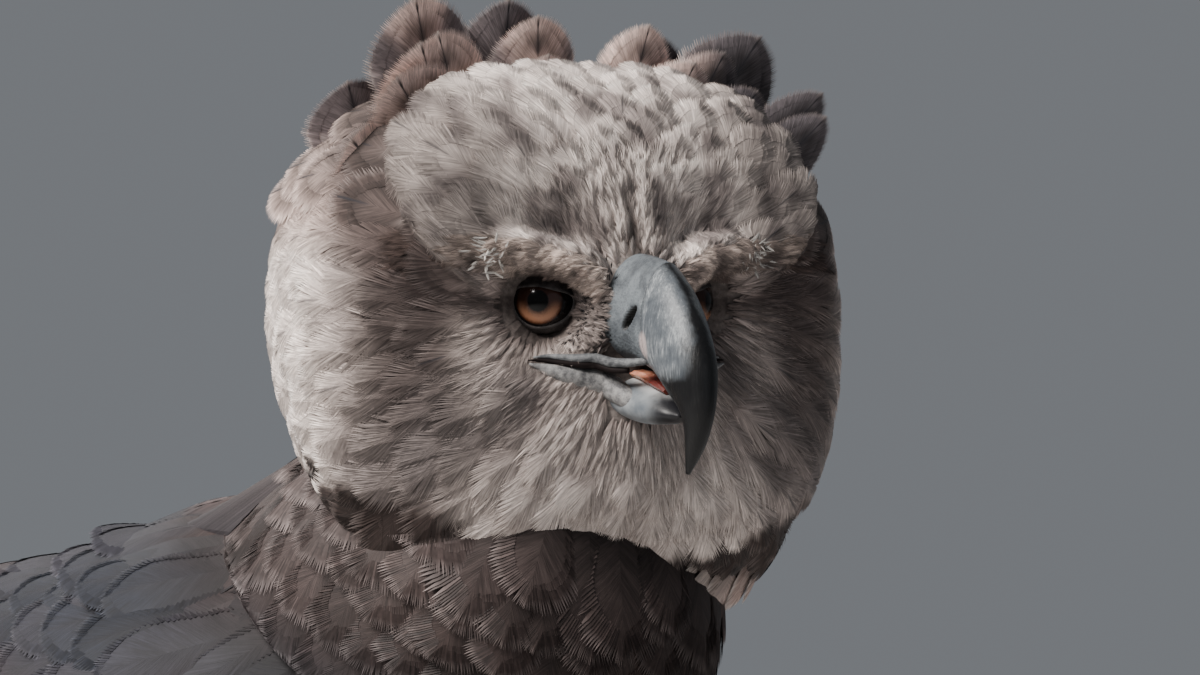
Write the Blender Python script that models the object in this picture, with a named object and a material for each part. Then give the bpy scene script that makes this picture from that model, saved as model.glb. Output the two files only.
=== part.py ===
"""Harpy eagle, life size and still, standing on level ground with its head turned towards its right.

The body faces -Y, its right side is -X, and the soles stand at Z = 0. Sizes are in metres.
"""

import math
import random

import bmesh
import bpy
import numpy as np
from mathutils import Vector

MM = 0.001
GAP = 0.3 * MM  # kept between neighbouring solids

# Where the feet stand along Y, so that the whole bird is centred over the origin
FEET_Y = -0.122

# The bend of the head: it turns to the bird's right, and its ball sits over the neck
HEAD_TURN = math.radians(26)
HEAD_BALL_FORWARD = 0.205
HEAD_BALL_HEIGHT = 0.600
EYES_BEFORE_BALL = 44 * MM  # from the middle of the head to the line between the eyes
EYES_ABOVE_BALL = 3 * MM

# Trunk stations from the tail to the neck: forward, height, half width, half height up, half height down
TORSO = (
    (-0.222, 0.338, 0.036, 0.030, 0.032),
    (-0.170, 0.352, 0.064, 0.052, 0.058),
    (-0.100, 0.378, 0.088, 0.078, 0.086),
    (-0.020, 0.406, 0.098, 0.090, 0.104),
    (0.060, 0.432, 0.098, 0.090, 0.108),
    (0.120, 0.456, 0.088, 0.093, 0.098),
    (0.158, 0.482, 0.076, 0.082, 0.082),
)
NECK = (
    (0.158, 0.482, 0.076, 0.082, 0.082),
    (0.175, 0.503, 0.077, 0.078, 0.083),
    (0.190, 0.522, 0.075, 0.070, 0.081),
    (0.204, 0.542, 0.070, 0.060, 0.075),
)

# Eyes, measured from the midpoint between them: forward, sideways, radius and how far out they look
EYE_FORWARD = -9 * MM
EYE_SIDE = 24 * MM
EYE_RADIUS = 12.5 * MM
EYE_LOOK = math.radians(38)

# Radius of the head round its ball centre, in mm, against the angle from straight ahead, in degrees
HEAD_ANGLES = (0, 12, 24, 36, 50, 66, 84, 100, 120, 140, 160, 180)
CROWN_RADII = (60, 63, 61.5, 63, 68, 74, 77, 76, 70, 63, 60, 60)
SIDE_RADII = (60, 61, 56, 52, 66, 88, 99, 97, 91, 80, 67, 60)
JOWL_RADII = (60, 61, 62, 65, 77, 99, 109, 100, 88, 78, 66, 60)
THROAT_RADII = (60, 62, 66, 71, 80, 90, 94, 85, 74, 65, 61, 60)
JOWL_TURN = 138  # where the jowl lies, in degrees round from the crown

# Under the ruff the head is this much smaller, and the vanes fill the rest
RUFF_DEPTH = 6 * MM

# A shallow dent in the face round each eye: place from the ball centre, depth and size
EYE_DENT_AT = (42 * MM, 31 * MM, 3 * MM)
EYE_DENT_DEPTH = 6.5 * MM
EYE_DENT_SIZE = 14 * MM

# Bill: each station is its outer point and its inner point (forward, up) and its width, in mm
CERE = (
    ((12, 14.5), (8, -19), 27),
    ((20, 13.5), (18, -19.5), 23),
    ((29.4, 11.6), (29.4, -23.5), 20),
)
UPPER_BEAK = (
    ((29.8, 11.4), (29.8, -23.8), 20),
    ((39, 4.5), (34, -27), 19.5),
    ((47, -5), (38, -30.5), 18),
    ((53, -15.5), (41.5, -33.5), 15.5),
    ((55.5, -26), (44, -36.5), 12.5),
    ((54.5, -37), (45.2, -41), 9.5),
    ((50, -47), (44.5, -47.5), 6.5),
    ((43.2, -55.5), (42, -55), 1.6),
)
LOWER_BEAK = (
    ((2, -23.5), (2, -34), 22),
    ((12, -24.5), (12, -38), 20),
    ((20, -26.5), (20, -39.5), 18),
    ((28, -29.5), (28, -39.8), 14.5),
    ((35, -33), (35.5, -38.8), 10),
    ((39, -36), (39.4, -37.4), 3),
)
TONGUE = (
    ((8, -21.5), (8, -23.9), 9),
    ((18, -22.6), (18, -25.6), 9),
    ((25, -25), (25, -28.0), 8),
    ((30, -28.2), (30, -29.9), 4),
)

# Wings
WING_GUIDE = (
    (0.130, 0.462, 0.088, 0.084, 0.098),
    (0.060, 0.432, 0.1005, 0.0925, 0.110),
    (-0.020, 0.406, 0.1005, 0.0925, 0.106),
    (-0.100, 0.378, 0.094, 0.082, 0.088),
    (-0.170, 0.350, 0.080, 0.064, 0.070),
    (-0.250, 0.305, 0.064, 0.050, 0.056),
    (-0.335, 0.242, 0.050, 0.040, 0.044),
)
WING_TOP = (34, 24, 18, 14, 11, 9, 8)
WING_BOTTOM = (112, 116, 114, 106, 96, 84, 66)

# How thick the wing is under its feathers, in mm, at shares of its length
WING_CORE = (
    (0, 4.5), (0.03, 8.8), (0.08, 10.2), (0.15, 9.8), (0.26, 7.0), (0.38, 3.9), (0.5, 1.8), (0.62, 0.9)
)
WING_CORE_ROWS = (0, 0.03, 0.09, 0.17, 0.26, 0.36, 0.48, 0.62)

# Feather tiers of a wing, from the lowest: how many, root share, tip share of the uppermost and the
# lowest feather, their angles from the back, and the height over the trunk at root and tip in mm
WING_TIERS = (
    (5, 0.48, 1.0, 0.86, 16, 58, -0.6, 2.2),
    (6, 0.37, 0.84, 0.66, 15, 84, 1.8, 5.0),
    (6, 0.25, 0.57, 0.48, 17, 98, 4.8, 7.8),
    (5, 0.13, 0.40, 0.34, 20, 102, 7.6, 11.0),
    (4, 0.02, 0.25, 0.20, 26, 104, 8.0, 14.2),
    (3, 0.05, 0.52, 0.40, 10, 34, 9.0, 15.6),
)
WING_OVERLAP = 1.36
WING_SHINGLE = 1.6 * MM
WING_ROOM = 20 * MM  # depth kept free for the whole wing, feathers included
WING_SPREAD = 14  # degrees by which the lowest feathers hang past the body of the wing

# Tail
TAIL_DROP = math.radians(38)
TAIL_LENGTH = 0.400
TAIL_ROOT = (-0.2235, 0.336)
# Legs
HIP_SIDE = 0.052
FOOT_SIDE = 0.062
THIGH = (
    (0.020, 0.370, 0.044, 0.074),
    (0.016, 0.300, 0.046, 0.066),
    (0.005, 0.240, 0.038, 0.052),
    (-0.011, 0.185, 0.028, 0.036),
    (-0.0245, 0.142, 0.019, 0.023),
)
TARSUS_TOP = (-0.0245, 0.1415)
TARSUS_BOTTOM = (-0.004, 0.026)
TARSUS_RADIUS = 0.0125
TOE_RADIUS = 0.0095
# Toe name, heading from straight ahead (inner side positive), length, claw length
TOES = (
    ("inner", 32, 0.060, 0.046),
    ("middle", -2, 0.084, 0.040),
    ("outer", -40, 0.066, 0.034),
    ("hind", 176, 0.054, 0.062),
)
CLAW_RADIUS = 0.0074


def side_point(forward, height, across=0.0):
    return Vector((across, FEET_Y - forward, height))


HEAD_FORWARD = Vector((-math.sin(HEAD_TURN), -math.cos(HEAD_TURN), 0))
HEAD_RIGHT = Vector((-math.cos(HEAD_TURN), math.sin(HEAD_TURN), 0))
HEAD_UP = Vector((0, 0, 1))
HEAD_BALL = side_point(HEAD_BALL_FORWARD, HEAD_BALL_HEIGHT)
EYE_MIDPOINT = HEAD_BALL + HEAD_FORWARD * EYES_BEFORE_BALL + HEAD_UP * EYES_ABOVE_BALL


def head_point(forward, right, up):
    """A point of the head, from the midpoint between the eyes."""
    return EYE_MIDPOINT + HEAD_FORWARD * forward + HEAD_RIGHT * right + HEAD_UP * up


# Materials


def material(name, colour, roughness):
    made = bpy.data.materials.new(name)
    made.use_nodes = True
    shader = made.node_tree.nodes["Principled BSDF"]
    shader.inputs["Base Color"].default_value = (*colour, 1)
    shader.inputs["Roughness"].default_value = roughness
    shader.inputs["Metallic"].default_value = 0.0
    return made


# Mesh building


def new_object(name, points, faces, finish):
    """A closed mesh object whose faces point out."""
    mesh = bpy.data.meshes.new(name)
    split = []
    for face in faces:
        if len(face) == 4:
            split += [(face[0], face[1], face[2]), (face[0], face[2], face[3])]
        else:
            split.append(face)
    mesh.from_pydata([tuple(p) for p in points], [], split)
    work = bmesh.new()
    work.from_mesh(mesh)
    bmesh.ops.recalc_face_normals(work, faces=work.faces)
    if work.calc_volume(signed=True) < 0:
        bmesh.ops.reverse_faces(work, faces=work.faces)
    work.to_mesh(mesh)
    work.free()
    made = bpy.data.objects.new(name, mesh)
    bpy.context.scene.collection.objects.link(made)
    if finish:
        mesh.materials.append(finish)
    return made


def loft(name, rings, finish):
    """A closed body through rings of equally many points, with a flat cap at each end."""
    count = len(rings[0])
    points = [p for ring in rings for p in ring]
    faces = []
    for i in range(len(rings) - 1):
        for j in range(count):
            k = (j + 1) % count
            a, b = i * count, (i + 1) * count
            faces.append((a + j, a + k, b + k, b + j))
    faces.append(tuple(range(count)))
    faces.append(tuple(range((len(rings) - 1) * count, len(rings) * count)))
    return new_object(name, points, faces, finish)


def smooth_rows(rows, count):
    """Rows of numbers resampled along a smooth curve through them (Catmull-Rom)."""
    rows = np.array(rows, float)
    padded = np.vstack([2 * rows[0] - rows[1], rows, 2 * rows[-1] - rows[-2]])
    found = []
    for t in np.linspace(0, len(rows) - 1, count):
        i = min(int(t), len(rows) - 2)
        x = t - i
        a, b, c, d = padded[i : i + 4]
        found.append(
            0.5 * (2 * b + (c - a) * x + (2 * a - 5 * b + 4 * c - d) * x**2 + (3 * b - a - 3 * c + d) * x**3)
        )
    return np.array(found)


def cut(target, cutters, operation="DIFFERENCE"):
    """Applies a Boolean with each cutter in turn, then removes the cutters."""
    for cutter in cutters:
        modifier = target.modifiers.new("cut", "BOOLEAN")
        modifier.operation = operation
        modifier.solver = "EXACT"
        modifier.object = cutter
        apply_modifiers(target)
        bpy.data.objects.remove(cutter)
    keep_largest(target)
    tidy(target)


def fuse(target, pieces):
    """One union of the target with a collection of closed pieces, which are then removed."""
    group = bpy.data.collections.new("pieces")
    bpy.context.scene.collection.children.link(group)
    for piece in pieces:
        bpy.context.scene.collection.objects.unlink(piece)
        group.objects.link(piece)
    modifier = target.modifiers.new("join", "BOOLEAN")
    modifier.operation = "UNION"
    modifier.solver = "EXACT"
    modifier.operand_type = "COLLECTION"
    modifier.collection = group
    apply_modifiers(target)
    for piece in list(group.objects):
        bpy.data.objects.remove(piece)
    bpy.data.collections.remove(group)
    keep_largest(target)


def apply_modifiers(target):
    bpy.context.view_layer.update()
    evaluated = target.evaluated_get(bpy.context.evaluated_depsgraph_get())
    mesh = bpy.data.meshes.new_from_object(evaluated)
    target.modifiers.clear()
    target.data = mesh


FLAT_ANGLE = math.radians(0.8)


def tidy(target):
    """Joins what a union or cut left split on one flat face."""
    work = bmesh.new()
    work.from_mesh(target.data)
    bmesh.ops.dissolve_degenerate(work, dist=0.01 * MM, edges=work.edges)
    bmesh.ops.dissolve_limit(work, angle_limit=FLAT_ANGLE, verts=work.verts, edges=work.edges)
    bmesh.ops.triangulate(work, faces=work.faces)
    work.to_mesh(target.data)
    work.free()


def keep_largest(target):
    """Keeps the largest closed surface of the mesh, and drops inner shells and scraps."""
    work = bmesh.new()
    work.from_mesh(target.data)
    left = set(work.faces)
    shells = []
    while left:
        seed = left.pop()
        shell = {seed}
        edge_of = [seed]
        while edge_of:
            face = edge_of.pop()
            for edge in face.edges:
                for other in edge.link_faces:
                    if other in left:
                        left.discard(other)
                        shell.add(other)
                        edge_of.append(other)
        shells.append(shell)
    largest = max(shells, key=lambda shell: sum(face.calc_area() for face in shell))
    spare = [face for shell in shells if shell is not largest for face in shell]
    bmesh.ops.delete(work, geom=spare, context="FACES")
    work.to_mesh(target.data)
    work.free()


def shade(target, angle=math.radians(35)):
    target.data.shade_smooth()
    target.data.set_sharp_from_angle(angle=angle)


# Trunk, neck and everything laid over them


def spine_frames(stations, count):
    """Stations resampled, each as centre, forward direction, up direction and its three half sizes."""
    rows = smooth_rows(stations, count)
    steps = np.gradient(rows[:, :2], axis=0)
    frames = []
    for row, step in zip(rows, steps):
        forward, rise = step / np.linalg.norm(step)
        centre = side_point(row[0], row[1])
        along = Vector((0, -forward, rise))
        up = Vector((0, rise, forward))
        frames.append((centre, along, up, row[2], row[3], row[4]))
    return frames


def body_point(frame, angle, grow=0.0):
    """A point on a trunk section, by its angle from the back (0) over the right (90) to the belly."""
    centre, along, up, half_width, half_up, half_down = frame
    across = math.sin(angle)
    rise = math.cos(angle)
    height = (half_up if rise > 0 else half_down) + grow
    return centre + Vector((-across * (half_width + grow), 0, 0)) + up * (rise * height)


def trunk_rings(stations, count, sides, grow=0.0):
    rings = []
    for frame in spine_frames(stations, count):
        rings.append([body_point(frame, 2 * math.pi * j / sides, grow) for j in range(sides)])
    return rings


def move_ring(ring, offset):
    return [p + offset for p in ring]


def build_torso(finish):
    return loft("torso", trunk_rings(TORSO, TRUNK_ROWS, TRUNK_SIDES), finish)


TRUNK_ROWS = 12
TRUNK_SIDES = 20


def torso_space():
    """The room the torso takes, with the gap kept round it."""
    frames = spine_frames(TORSO, TRUNK_ROWS)
    rings = trunk_rings(TORSO, TRUNK_ROWS, TRUNK_SIDES, GAP * 1.2)
    rings[0] = move_ring(rings[0], frames[0][1] * -GAP)
    rings[-1] = move_ring(rings[-1], frames[-1][1] * GAP)
    return loft("free", rings, None)


def build_neck(finish):
    end = spine_frames(TORSO, TRUNK_ROWS)[-1]
    rings = trunk_rings(NECK, 5, TRUNK_SIDES)
    rings[0] = move_ring(trunk_rings(TORSO, TRUNK_ROWS, TRUNK_SIDES)[-1], end[1] * GAP)
    return loft("neck", rings, finish)


# Head


def from_crown(turn):
    """An angle round the head as degrees from the crown, from 0 to 180 on either side."""
    return abs((math.degrees(turn) + 180) % 360 - 180)


def head_radius(ahead, turn):
    """Radius of the head in metres, by the angle from straight ahead and the turn from the crown."""
    degrees = math.degrees(ahead)
    tables = (CROWN_RADII, SIDE_RADII, JOWL_RADII, THROAT_RADII)
    crown, side, jowl, throat = (np.interp(degrees, HEAD_ANGLES, r) for r in tables)
    alpha = from_crown(turn)
    if alpha < 90:
        full = side + (crown - side) * math.cos(turn) ** 4
    elif alpha < JOWL_TURN:
        full = side + (jowl - side) * ease(alpha, 90, JOWL_TURN)
    else:
        full = jowl + (throat - jowl) * ease(alpha, JOWL_TURN, 180)
    full *= MM
    forward, right, up = head_parts(ahead, turn, full)
    reach = math.dist((forward, abs(right), up), EYE_DENT_AT)
    return full - EYE_DENT_DEPTH * math.exp(-((reach / EYE_DENT_SIZE) ** 2))


def ease(value, low, high):
    """Goes smoothly from 0 at low to 1 at high."""
    share = min(max((value - low) / (high - low), 0), 1)
    return share * share * (3 - 2 * share)


def core_radius(ahead, turn):
    """Radius of the head under the ruff."""
    beta = math.degrees(ahead)
    alpha = from_crown(turn)
    under = ease(beta, 42, 58) * (1 - ease(beta, 104, 120)) * ease(alpha, 24, 42)
    under *= 1 - ease(beta, 76, 94) * ease(alpha, 130, 146)
    return head_radius(ahead, turn) - RUFF_DEPTH * under


def head_parts(ahead, turn, radius):
    """The same point as forward, right and up distances from the ball centre."""
    aside = math.sin(ahead) * radius
    return math.cos(ahead) * radius, math.sin(turn) * aside, math.cos(turn) * aside


def head_direction(ahead, turn):
    return (
        HEAD_FORWARD * math.cos(ahead)
        + (HEAD_UP * math.cos(turn) + HEAD_RIGHT * math.sin(turn)) * math.sin(ahead)
    )


def head_surface(ahead, turn, grow=0.0):
    return HEAD_BALL + head_direction(ahead, turn) * (head_radius(ahead, turn) + grow)


HEAD_ROWS = (10, 19, 27, 34, 41, 49, 59, 70, 81, 92, 103, 115, 128, 143, 160)
NECK_ROOM = 2.2 * MM  # from the head's own surface to the neck, so that no ruff feather meets it
HEAD_SIDES = 28


def head_ball(name, finish, radius_at, grow=0.0):
    """A closed head shape, with its radius taken from a function of the two angles."""
    rows, sides = len(HEAD_ROWS) + 1, HEAD_SIDES
    spots = [(0, 0)]
    spots += [(math.radians(a), 2 * math.pi * j / sides) for a in HEAD_ROWS for j in range(sides)]
    spots.append((math.pi, 0))
    points = [HEAD_BALL + head_direction(*spot) * (radius_at(*spot) + grow) for spot in spots]
    last = len(points) - 1
    faces = []
    for j in range(sides):
        k = (j + 1) % sides
        faces.append((0, 1 + k, 1 + j))
        faces.append((last, last - sides + j, last - sides + k))
        for i in range(rows - 2):
            a, b = 1 + i * sides, 1 + (i + 1) * sides
            faces.append((a + j, a + k, b + k, b + j))
    return new_object(name, points, faces, finish)


def bill_rings(stations, sides, grow=0.0):
    """Rings of a bill piece: flat across its inner side, round over its outer side."""
    rings = []
    for outer, inner, width in stations:
        top = head_point(outer[0] * MM, 0, outer[1] * MM)
        bottom = head_point(inner[0] * MM, 0, inner[1] * MM)
        middle = (top + bottom) / 2
        rise = (top - bottom) / 2
        stretch = 1 + grow / rise.length
        half = width * MM / 2 + grow
        ring = []
        for j in range(sides):
            angle = 2 * math.pi * j / sides
            up = math.cos(angle)
            across = math.sin(angle) * (1 - 0.14 * up)
            up = max(up, -0.92)
            ring.append(middle + rise * (up / 0.96 * stretch) + HEAD_RIGHT * (across * half))
        rings.append(ring)
    return rings


def bill_piece(name, stations, sides, finish, grow=0.0):
    rings = bill_rings(stations, sides, grow)
    if grow:
        rings[0] = move_ring(rings[0], (rings[0][0] - rings[1][0]).normalized() * grow)
        rings[-1] = move_ring(rings[-1], (rings[-1][0] - rings[-2][0]).normalized() * grow)
    return loft(name, rings, finish)


def eye_centre(side):
    return head_point(EYE_FORWARD, side * EYE_SIDE, 0)


def eye_axis(side):
    return HEAD_FORWARD * math.cos(EYE_LOOK) + HEAD_RIGHT * (side * math.sin(EYE_LOOK))


def ball(name, centre, axis, radius, rows, sides, finish):
    """A sphere with its pole along the axis."""
    turn = axis.to_track_quat("Z", "Y")
    points = [centre + turn @ Vector((0, 0, radius))]
    for i in range(1, rows):
        ahead = math.pi * i / rows
        for j in range(sides):
            angle = 2 * math.pi * j / sides
            spot = Vector(
                (math.cos(angle) * math.sin(ahead), math.sin(angle) * math.sin(ahead), math.cos(ahead))
            )
            points.append(centre + turn @ (spot * radius))
    points.append(centre + turn @ Vector((0, 0, -radius)))
    last = len(points) - 1
    faces = []
    for j in range(sides):
        k = (j + 1) % sides
        faces.append((0, 1 + j, 1 + k))
        faces.append((last, last - sides + k, last - sides + j))
        for i in range(rows - 2):
            a, b = 1 + i * sides, 1 + (i + 1) * sides
            faces.append((a + j, b + j, b + k, a + k))
    return new_object(name, points, faces, finish)


def ring_body(name, centre, axis, profile, sides, finish):
    """A closed ring turned round an axis. The profile holds (angle from the axis, radius) corners."""
    turn = axis.to_track_quat("Z", "Y")
    points = []
    for j in range(sides):
        angle = 2 * math.pi * j / sides
        for polar, radius in profile:
            spot = Vector(
                (math.cos(angle) * math.sin(polar), math.sin(angle) * math.sin(polar), math.cos(polar))
            )
            points.append(centre + turn @ (spot * radius))
    count = len(profile)
    faces = []
    for j in range(sides):
        k = (j + 1) % sides
        for i in range(count):
            n = (i + 1) % count
            faces.append((j * count + i, j * count + n, k * count + n, k * count + i))
    return new_object(name, points, faces, finish)


def tube(name, stops, sides, finish, squash=1.0):
    """A round tube through (point, radius) stops."""
    points = [p for p, r in stops]
    rings = []
    for i, (centre, radius) in enumerate(stops):
        before = points[max(i - 1, 0)]
        after = points[min(i + 1, len(points) - 1)]
        turn = (after - before).to_track_quat("Z", "Y")
        rings.append(
            [
                centre
                + turn
                @ Vector(
                    (
                        math.cos(2 * math.pi * j / sides) * radius,
                        math.sin(2 * math.pi * j / sides) * radius * squash,
                        0,
                    )
                )
                for j in range(sides)
            ]
        )
    return loft(name, rings, finish)


BROW = ((9, 11, 5, 5), (6, 20, 10.5, 6.2), (1, 31, 13, 6.6), (-6, 43, 14, 5.5), (-18, 54, 12, 3.5))
LIP = ((22, 12.4, -20.6, 1.4), (13, 17, -20.8, 1.7), (5, 22.5, -19.6, 1.7), (-2, 28, -18.4, 1.2))
LOWER_LIP = ((18, 12.4, -25.6, 1.5), (11, 17, -24.4, 1.8), (4, 22.5, -22.8, 1.7), (-2, 28, -20.8, 1.2))


def on_head(forward, right, up, grow):
    """The head's surface in the direction of a point given in mm from between the eyes."""
    f, r, u = forward + EYES_BEFORE_BALL / MM, right, up + EYES_ABOVE_BALL / MM
    return head_surface(math.atan2(math.hypot(r, u), f), math.atan2(r, u), grow)


def brow_tube(side):
    found = [(head_point(f * MM, side * r * MM, u * MM), size * MM) for f, r, u, size in BROW]
    return tube("brow", found, 8, None)


def lip_tube(stops, side):
    found = [(on_head(f, side * r, u, 0), size * MM) for f, r, u, size in stops]
    return tube("lip", found, 6, None)


# Feather shape: share of the length, share of the full half width
VANE = ((0.0, 0.5), (0.42, 0.95), (0.82, 0.85), (1.0, 0.3))
LONG_VANE = ((0.0, 0.5), (0.35, 0.85), (0.72, 1.0), (0.92, 0.78), (1.0, 0.28))
VANE_THICKNESS = 0.75 * MM
TIP_THINNING = 0.25  # share of the thickness lost towards the tip

# Ruff tiers: root and tip angle from straight ahead, feathers in a full turn, first and last angle
# from the crown that carry them
RUFF = (
    (43, 66, 16, 48, 180),
    (54, 84, 17, 34, 180),
    (68, 104, 17, 44, 142),
)
RUFF_ROOT = -9 * MM
RUFF_TIP = -1.7 * MM
RUFF_OVERLAP = 1.36  # width of a feather over the room it has
RUFF_SHINGLE = 1.8 * MM  # rise of one feather's edge over its neighbour's

# Crest feathers: how far forward they stand, root (right, up), tip (right, up), width, all in mm
CREST = (
    (-50.5, (36, 55), (49, 98.7), 36),
    (-54.0, (14, 60), (16, 99.7), 31),
    (-46.5, (5, 60), (8.6, 94), 31),
    (-38.5, (6, 58), (7.7, 81), 22),
    (-42.5, (34, 54), (48.4, 88), 30),
    (-44.0, (-26, 58), (-32, 91.6), 26),
    (-40.5, (-44, 52), (-58.6, 82.6), 25),
    (-49.0, (-52, 48), (-75.3, 88.4), 36),
    (-45.5, (-70, 38), (-97.7, 69.7), 21),
    (-39.0, (-70, 34), (-95.9, 61.6), 20),
)
CREST_CUP = 1.6 * MM  # how far the shaft stands forward of the edges


def vane(sections):
    """One feather through sections, each a pair of rows of points: underside and top, left to right."""
    across = len(sections[0][0])
    points = [p for under, top in sections for p in (*under, *top)]
    step = 2 * across
    faces = []
    for i in range(len(sections) - 1):
        a, b = i * step, (i + 1) * step
        for side in (0, across):
            for j in range(side, side + across - 1):
                faces += [(a + j, b + j, b + j + 1), (a + j, b + j + 1, a + j + 1)]
        for j in (0, across - 1):
            faces += [(a + j, a + across + j, b + across + j), (a + j, b + across + j, b + j)]
    for a in (0, (len(sections) - 1) * step):
        for j in range(across - 1):
            faces += [(a + j, a + j + 1, a + across + j + 1), (a + j, a + across + j + 1, a + across + j)]
    return new_object("vane", points, faces, None)


def ruff_vane(root, tip, turn, half, lift):
    sections = []
    for share, width in VANE:
        ahead = math.radians(root + (tip - root) * share)
        thick = VANE_THICKNESS * (1 - TIP_THINNING * share)
        height = RUFF_ROOT + (RUFF_TIP + lift - RUFF_ROOT) * share
        rows = ([], [])
        for side in (-1, 0, 1):
            angle = math.radians(turn + side * half * width)
            middle = height + side * width * RUFF_SHINGLE * RUFF_OVERLAP / 2
            rows[0].append(head_surface(ahead, angle, middle - thick / 2))
            rows[1].append(head_surface(ahead, angle, middle + thick / 2))
        sections.append(rows)
    return vane(sections)


def ruff_vanes():
    draw = random.Random(5)
    made = []
    for tier, (root, tip, count, first, last) in enumerate(RUFF):
        pitch = 360 / count
        for i in range(count):
            turn = -180 + pitch * (i + 0.5 * (tier % 2))
            if not first <= from_crown(math.radians(turn)) <= last:
                continue
            made.append(
                ruff_vane(
                    root,
                    tip + draw.uniform(-2.0, 1.2),
                    turn,
                    pitch / 2 * RUFF_OVERLAP,
                    draw.uniform(-0.6, 0) * MM,
                )
            )
    return made


def crest_vane(forward, root, tip, width):
    start = head_point(forward * MM, root[0] * MM, root[1] * MM)
    end = head_point(forward * MM, tip[0] * MM, tip[1] * MM)
    along = (end - start).normalized()
    beside = along.cross(HEAD_FORWARD).normalized()
    sections = []
    for share, size in LONG_VANE:
        centre = start.lerp(end, share)
        half = width * MM / 2 * size
        thick = VANE_THICKNESS * 1.3 * (1 - TIP_THINNING * share)
        rows = ([], [])
        for side in (-1, 0, 1):
            spot = centre + beside * (side * half) + HEAD_FORWARD * ((1 - abs(side)) * CREST_CUP * size)
            rows[0].append(spot - HEAD_FORWARD * (thick / 2))
            rows[1].append(spot + HEAD_FORWARD * (thick / 2))
        sections.append(rows)
    return vane(sections)


def build_head(finish):
    head = head_ball("head", finish, core_radius)
    pieces = []
    for side in (1, -1):
        lid = [
            (math.radians(48), EYE_RADIUS),
            (math.radians(50), EYE_RADIUS + 1.6 * MM),
            (math.radians(68), EYE_RADIUS + 2.4 * MM),
            (math.radians(76), EYE_RADIUS),
        ]
        pieces.append(ring_body("lid", eye_centre(side), eye_axis(side), lid, 12, None))
        pieces.append(brow_tube(side))
        pieces.append(lip_tube(LIP, side))
        pieces.append(lip_tube(LOWER_LIP, side))
    pieces += ruff_vanes()
    pieces += [crest_vane(*row) for row in CREST]
    fuse(head, pieces)
    free = [
        ball("free", eye_centre(side), eye_axis(side), EYE_RADIUS + GAP * 1.6, 8, 12, None)
        for side in (1, -1)
    ]
    free.append(bill_piece("free", CERE, 14, None, GAP))
    free.append(bill_piece("free", LOWER_BEAK, 12, None, GAP))
    free.append(bill_piece("free", TONGUE, 8, None, GAP))
    cut(head, free)
    return head


NOSTRIL = (25.2, 11.0, -5.2)
NOSTRIL_SIZE = (1.5, 3.4, 4.2)


def build_cere(finish):
    cere = bill_piece("cere", CERE, 14, finish)
    holes = []
    for side in (1, -1):
        spot = head_point(NOSTRIL[0] * MM, side * NOSTRIL[1] * MM, NOSTRIL[2] * MM)
        slant = (HEAD_UP + HEAD_FORWARD * 0.62).normalized()
        hole = ball("hole", Vector(), HEAD_UP, MM, 6, 10, None)
        out = HEAD_RIGHT * side
        flat = slant.cross(out)
        for vertex in hole.data.vertices:
            x, y, z = vertex.co / MM
            vertex.co = (
                spot + flat * (x * NOSTRIL_SIZE[0] * MM) + out * (y * NOSTRIL_SIZE[1] * MM)
                + slant * (z * NOSTRIL_SIZE[2] * MM)
            )
        if side > 0:
            hole.data.flip_normals()
        holes.append(hole)
    cut(cere, holes)
    return cere


# Wings


def wing_frame(t):
    """The wing guide's section at t, from the shoulder (0) to the tip (1)."""
    return spine_frames_at(WING_GUIDE, t)


def spine_frames_at(stations, t):
    count = len(stations)
    x = t * (count - 1)
    rows = smooth_rows(stations, 6 * (count - 1) + 1)
    grid = np.linspace(0, count - 1, len(rows))
    row = np.array([np.interp(x, grid, rows[:, i]) for i in range(rows.shape[1])])
    steps = np.gradient(rows[:, :2], axis=0)
    step = np.array([np.interp(x, grid, steps[:, i]) for i in range(2)])
    forward, rise = -step / np.linalg.norm(step)
    centre = side_point(row[0], row[1])
    return (centre, Vector((0, -forward, rise)), Vector((0, rise, forward)), row[2], row[3], row[4])


def along_wing(values, t):
    return float(np.interp(t, np.linspace(0, 1, len(values)), values))


WING_SINK = 2.5 * MM  # how deep its inner face starts in the trunk, before the trunk is cut out of it
WING_RIM = 0.5  # thickness of the core at its upper and lower edge, as a share of the middle


ROOT_SINK = 1.5 * MM  # least depth of a wing feather's root in the wing


def plate_profile(share):
    """Thickness of the wing across its width, against the middle."""
    return WING_RIM + (1 - WING_RIM) * math.sin(math.pi * min(max(share, 0), 1)) ** 0.6


def wing_plate(side, name, finish, depth, grow=0.0, spread=0.0):
    """A plate that hugs the trunk. Depth is a function that gives its thickness at each row.

    Spread widens it at its upper and lower edge, in degrees.
    """
    across = 6
    rings = []
    for t in WING_CORE_ROWS:
        frame = wing_frame(t)
        top = math.radians(along_wing(WING_TOP, t) - spread)
        bottom = math.radians(along_wing(WING_BOTTOM, t) + spread)
        inner, outer = [], []
        for j in range(across):
            share = j / (across - 1)
            angle = top + (bottom - top) * share
            thick = depth(t) * plate_profile(share)
            inner.append(body_point(frame, side * angle, -WING_SINK - grow))
            outer.append(body_point(frame, side * angle, thick + grow))
        rings.append(inner + outer[::-1])
    return loft(name, rings, finish)


def wing_core_depth(t):
    return float(np.interp(t, *zip(*WING_CORE))) * MM


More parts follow.
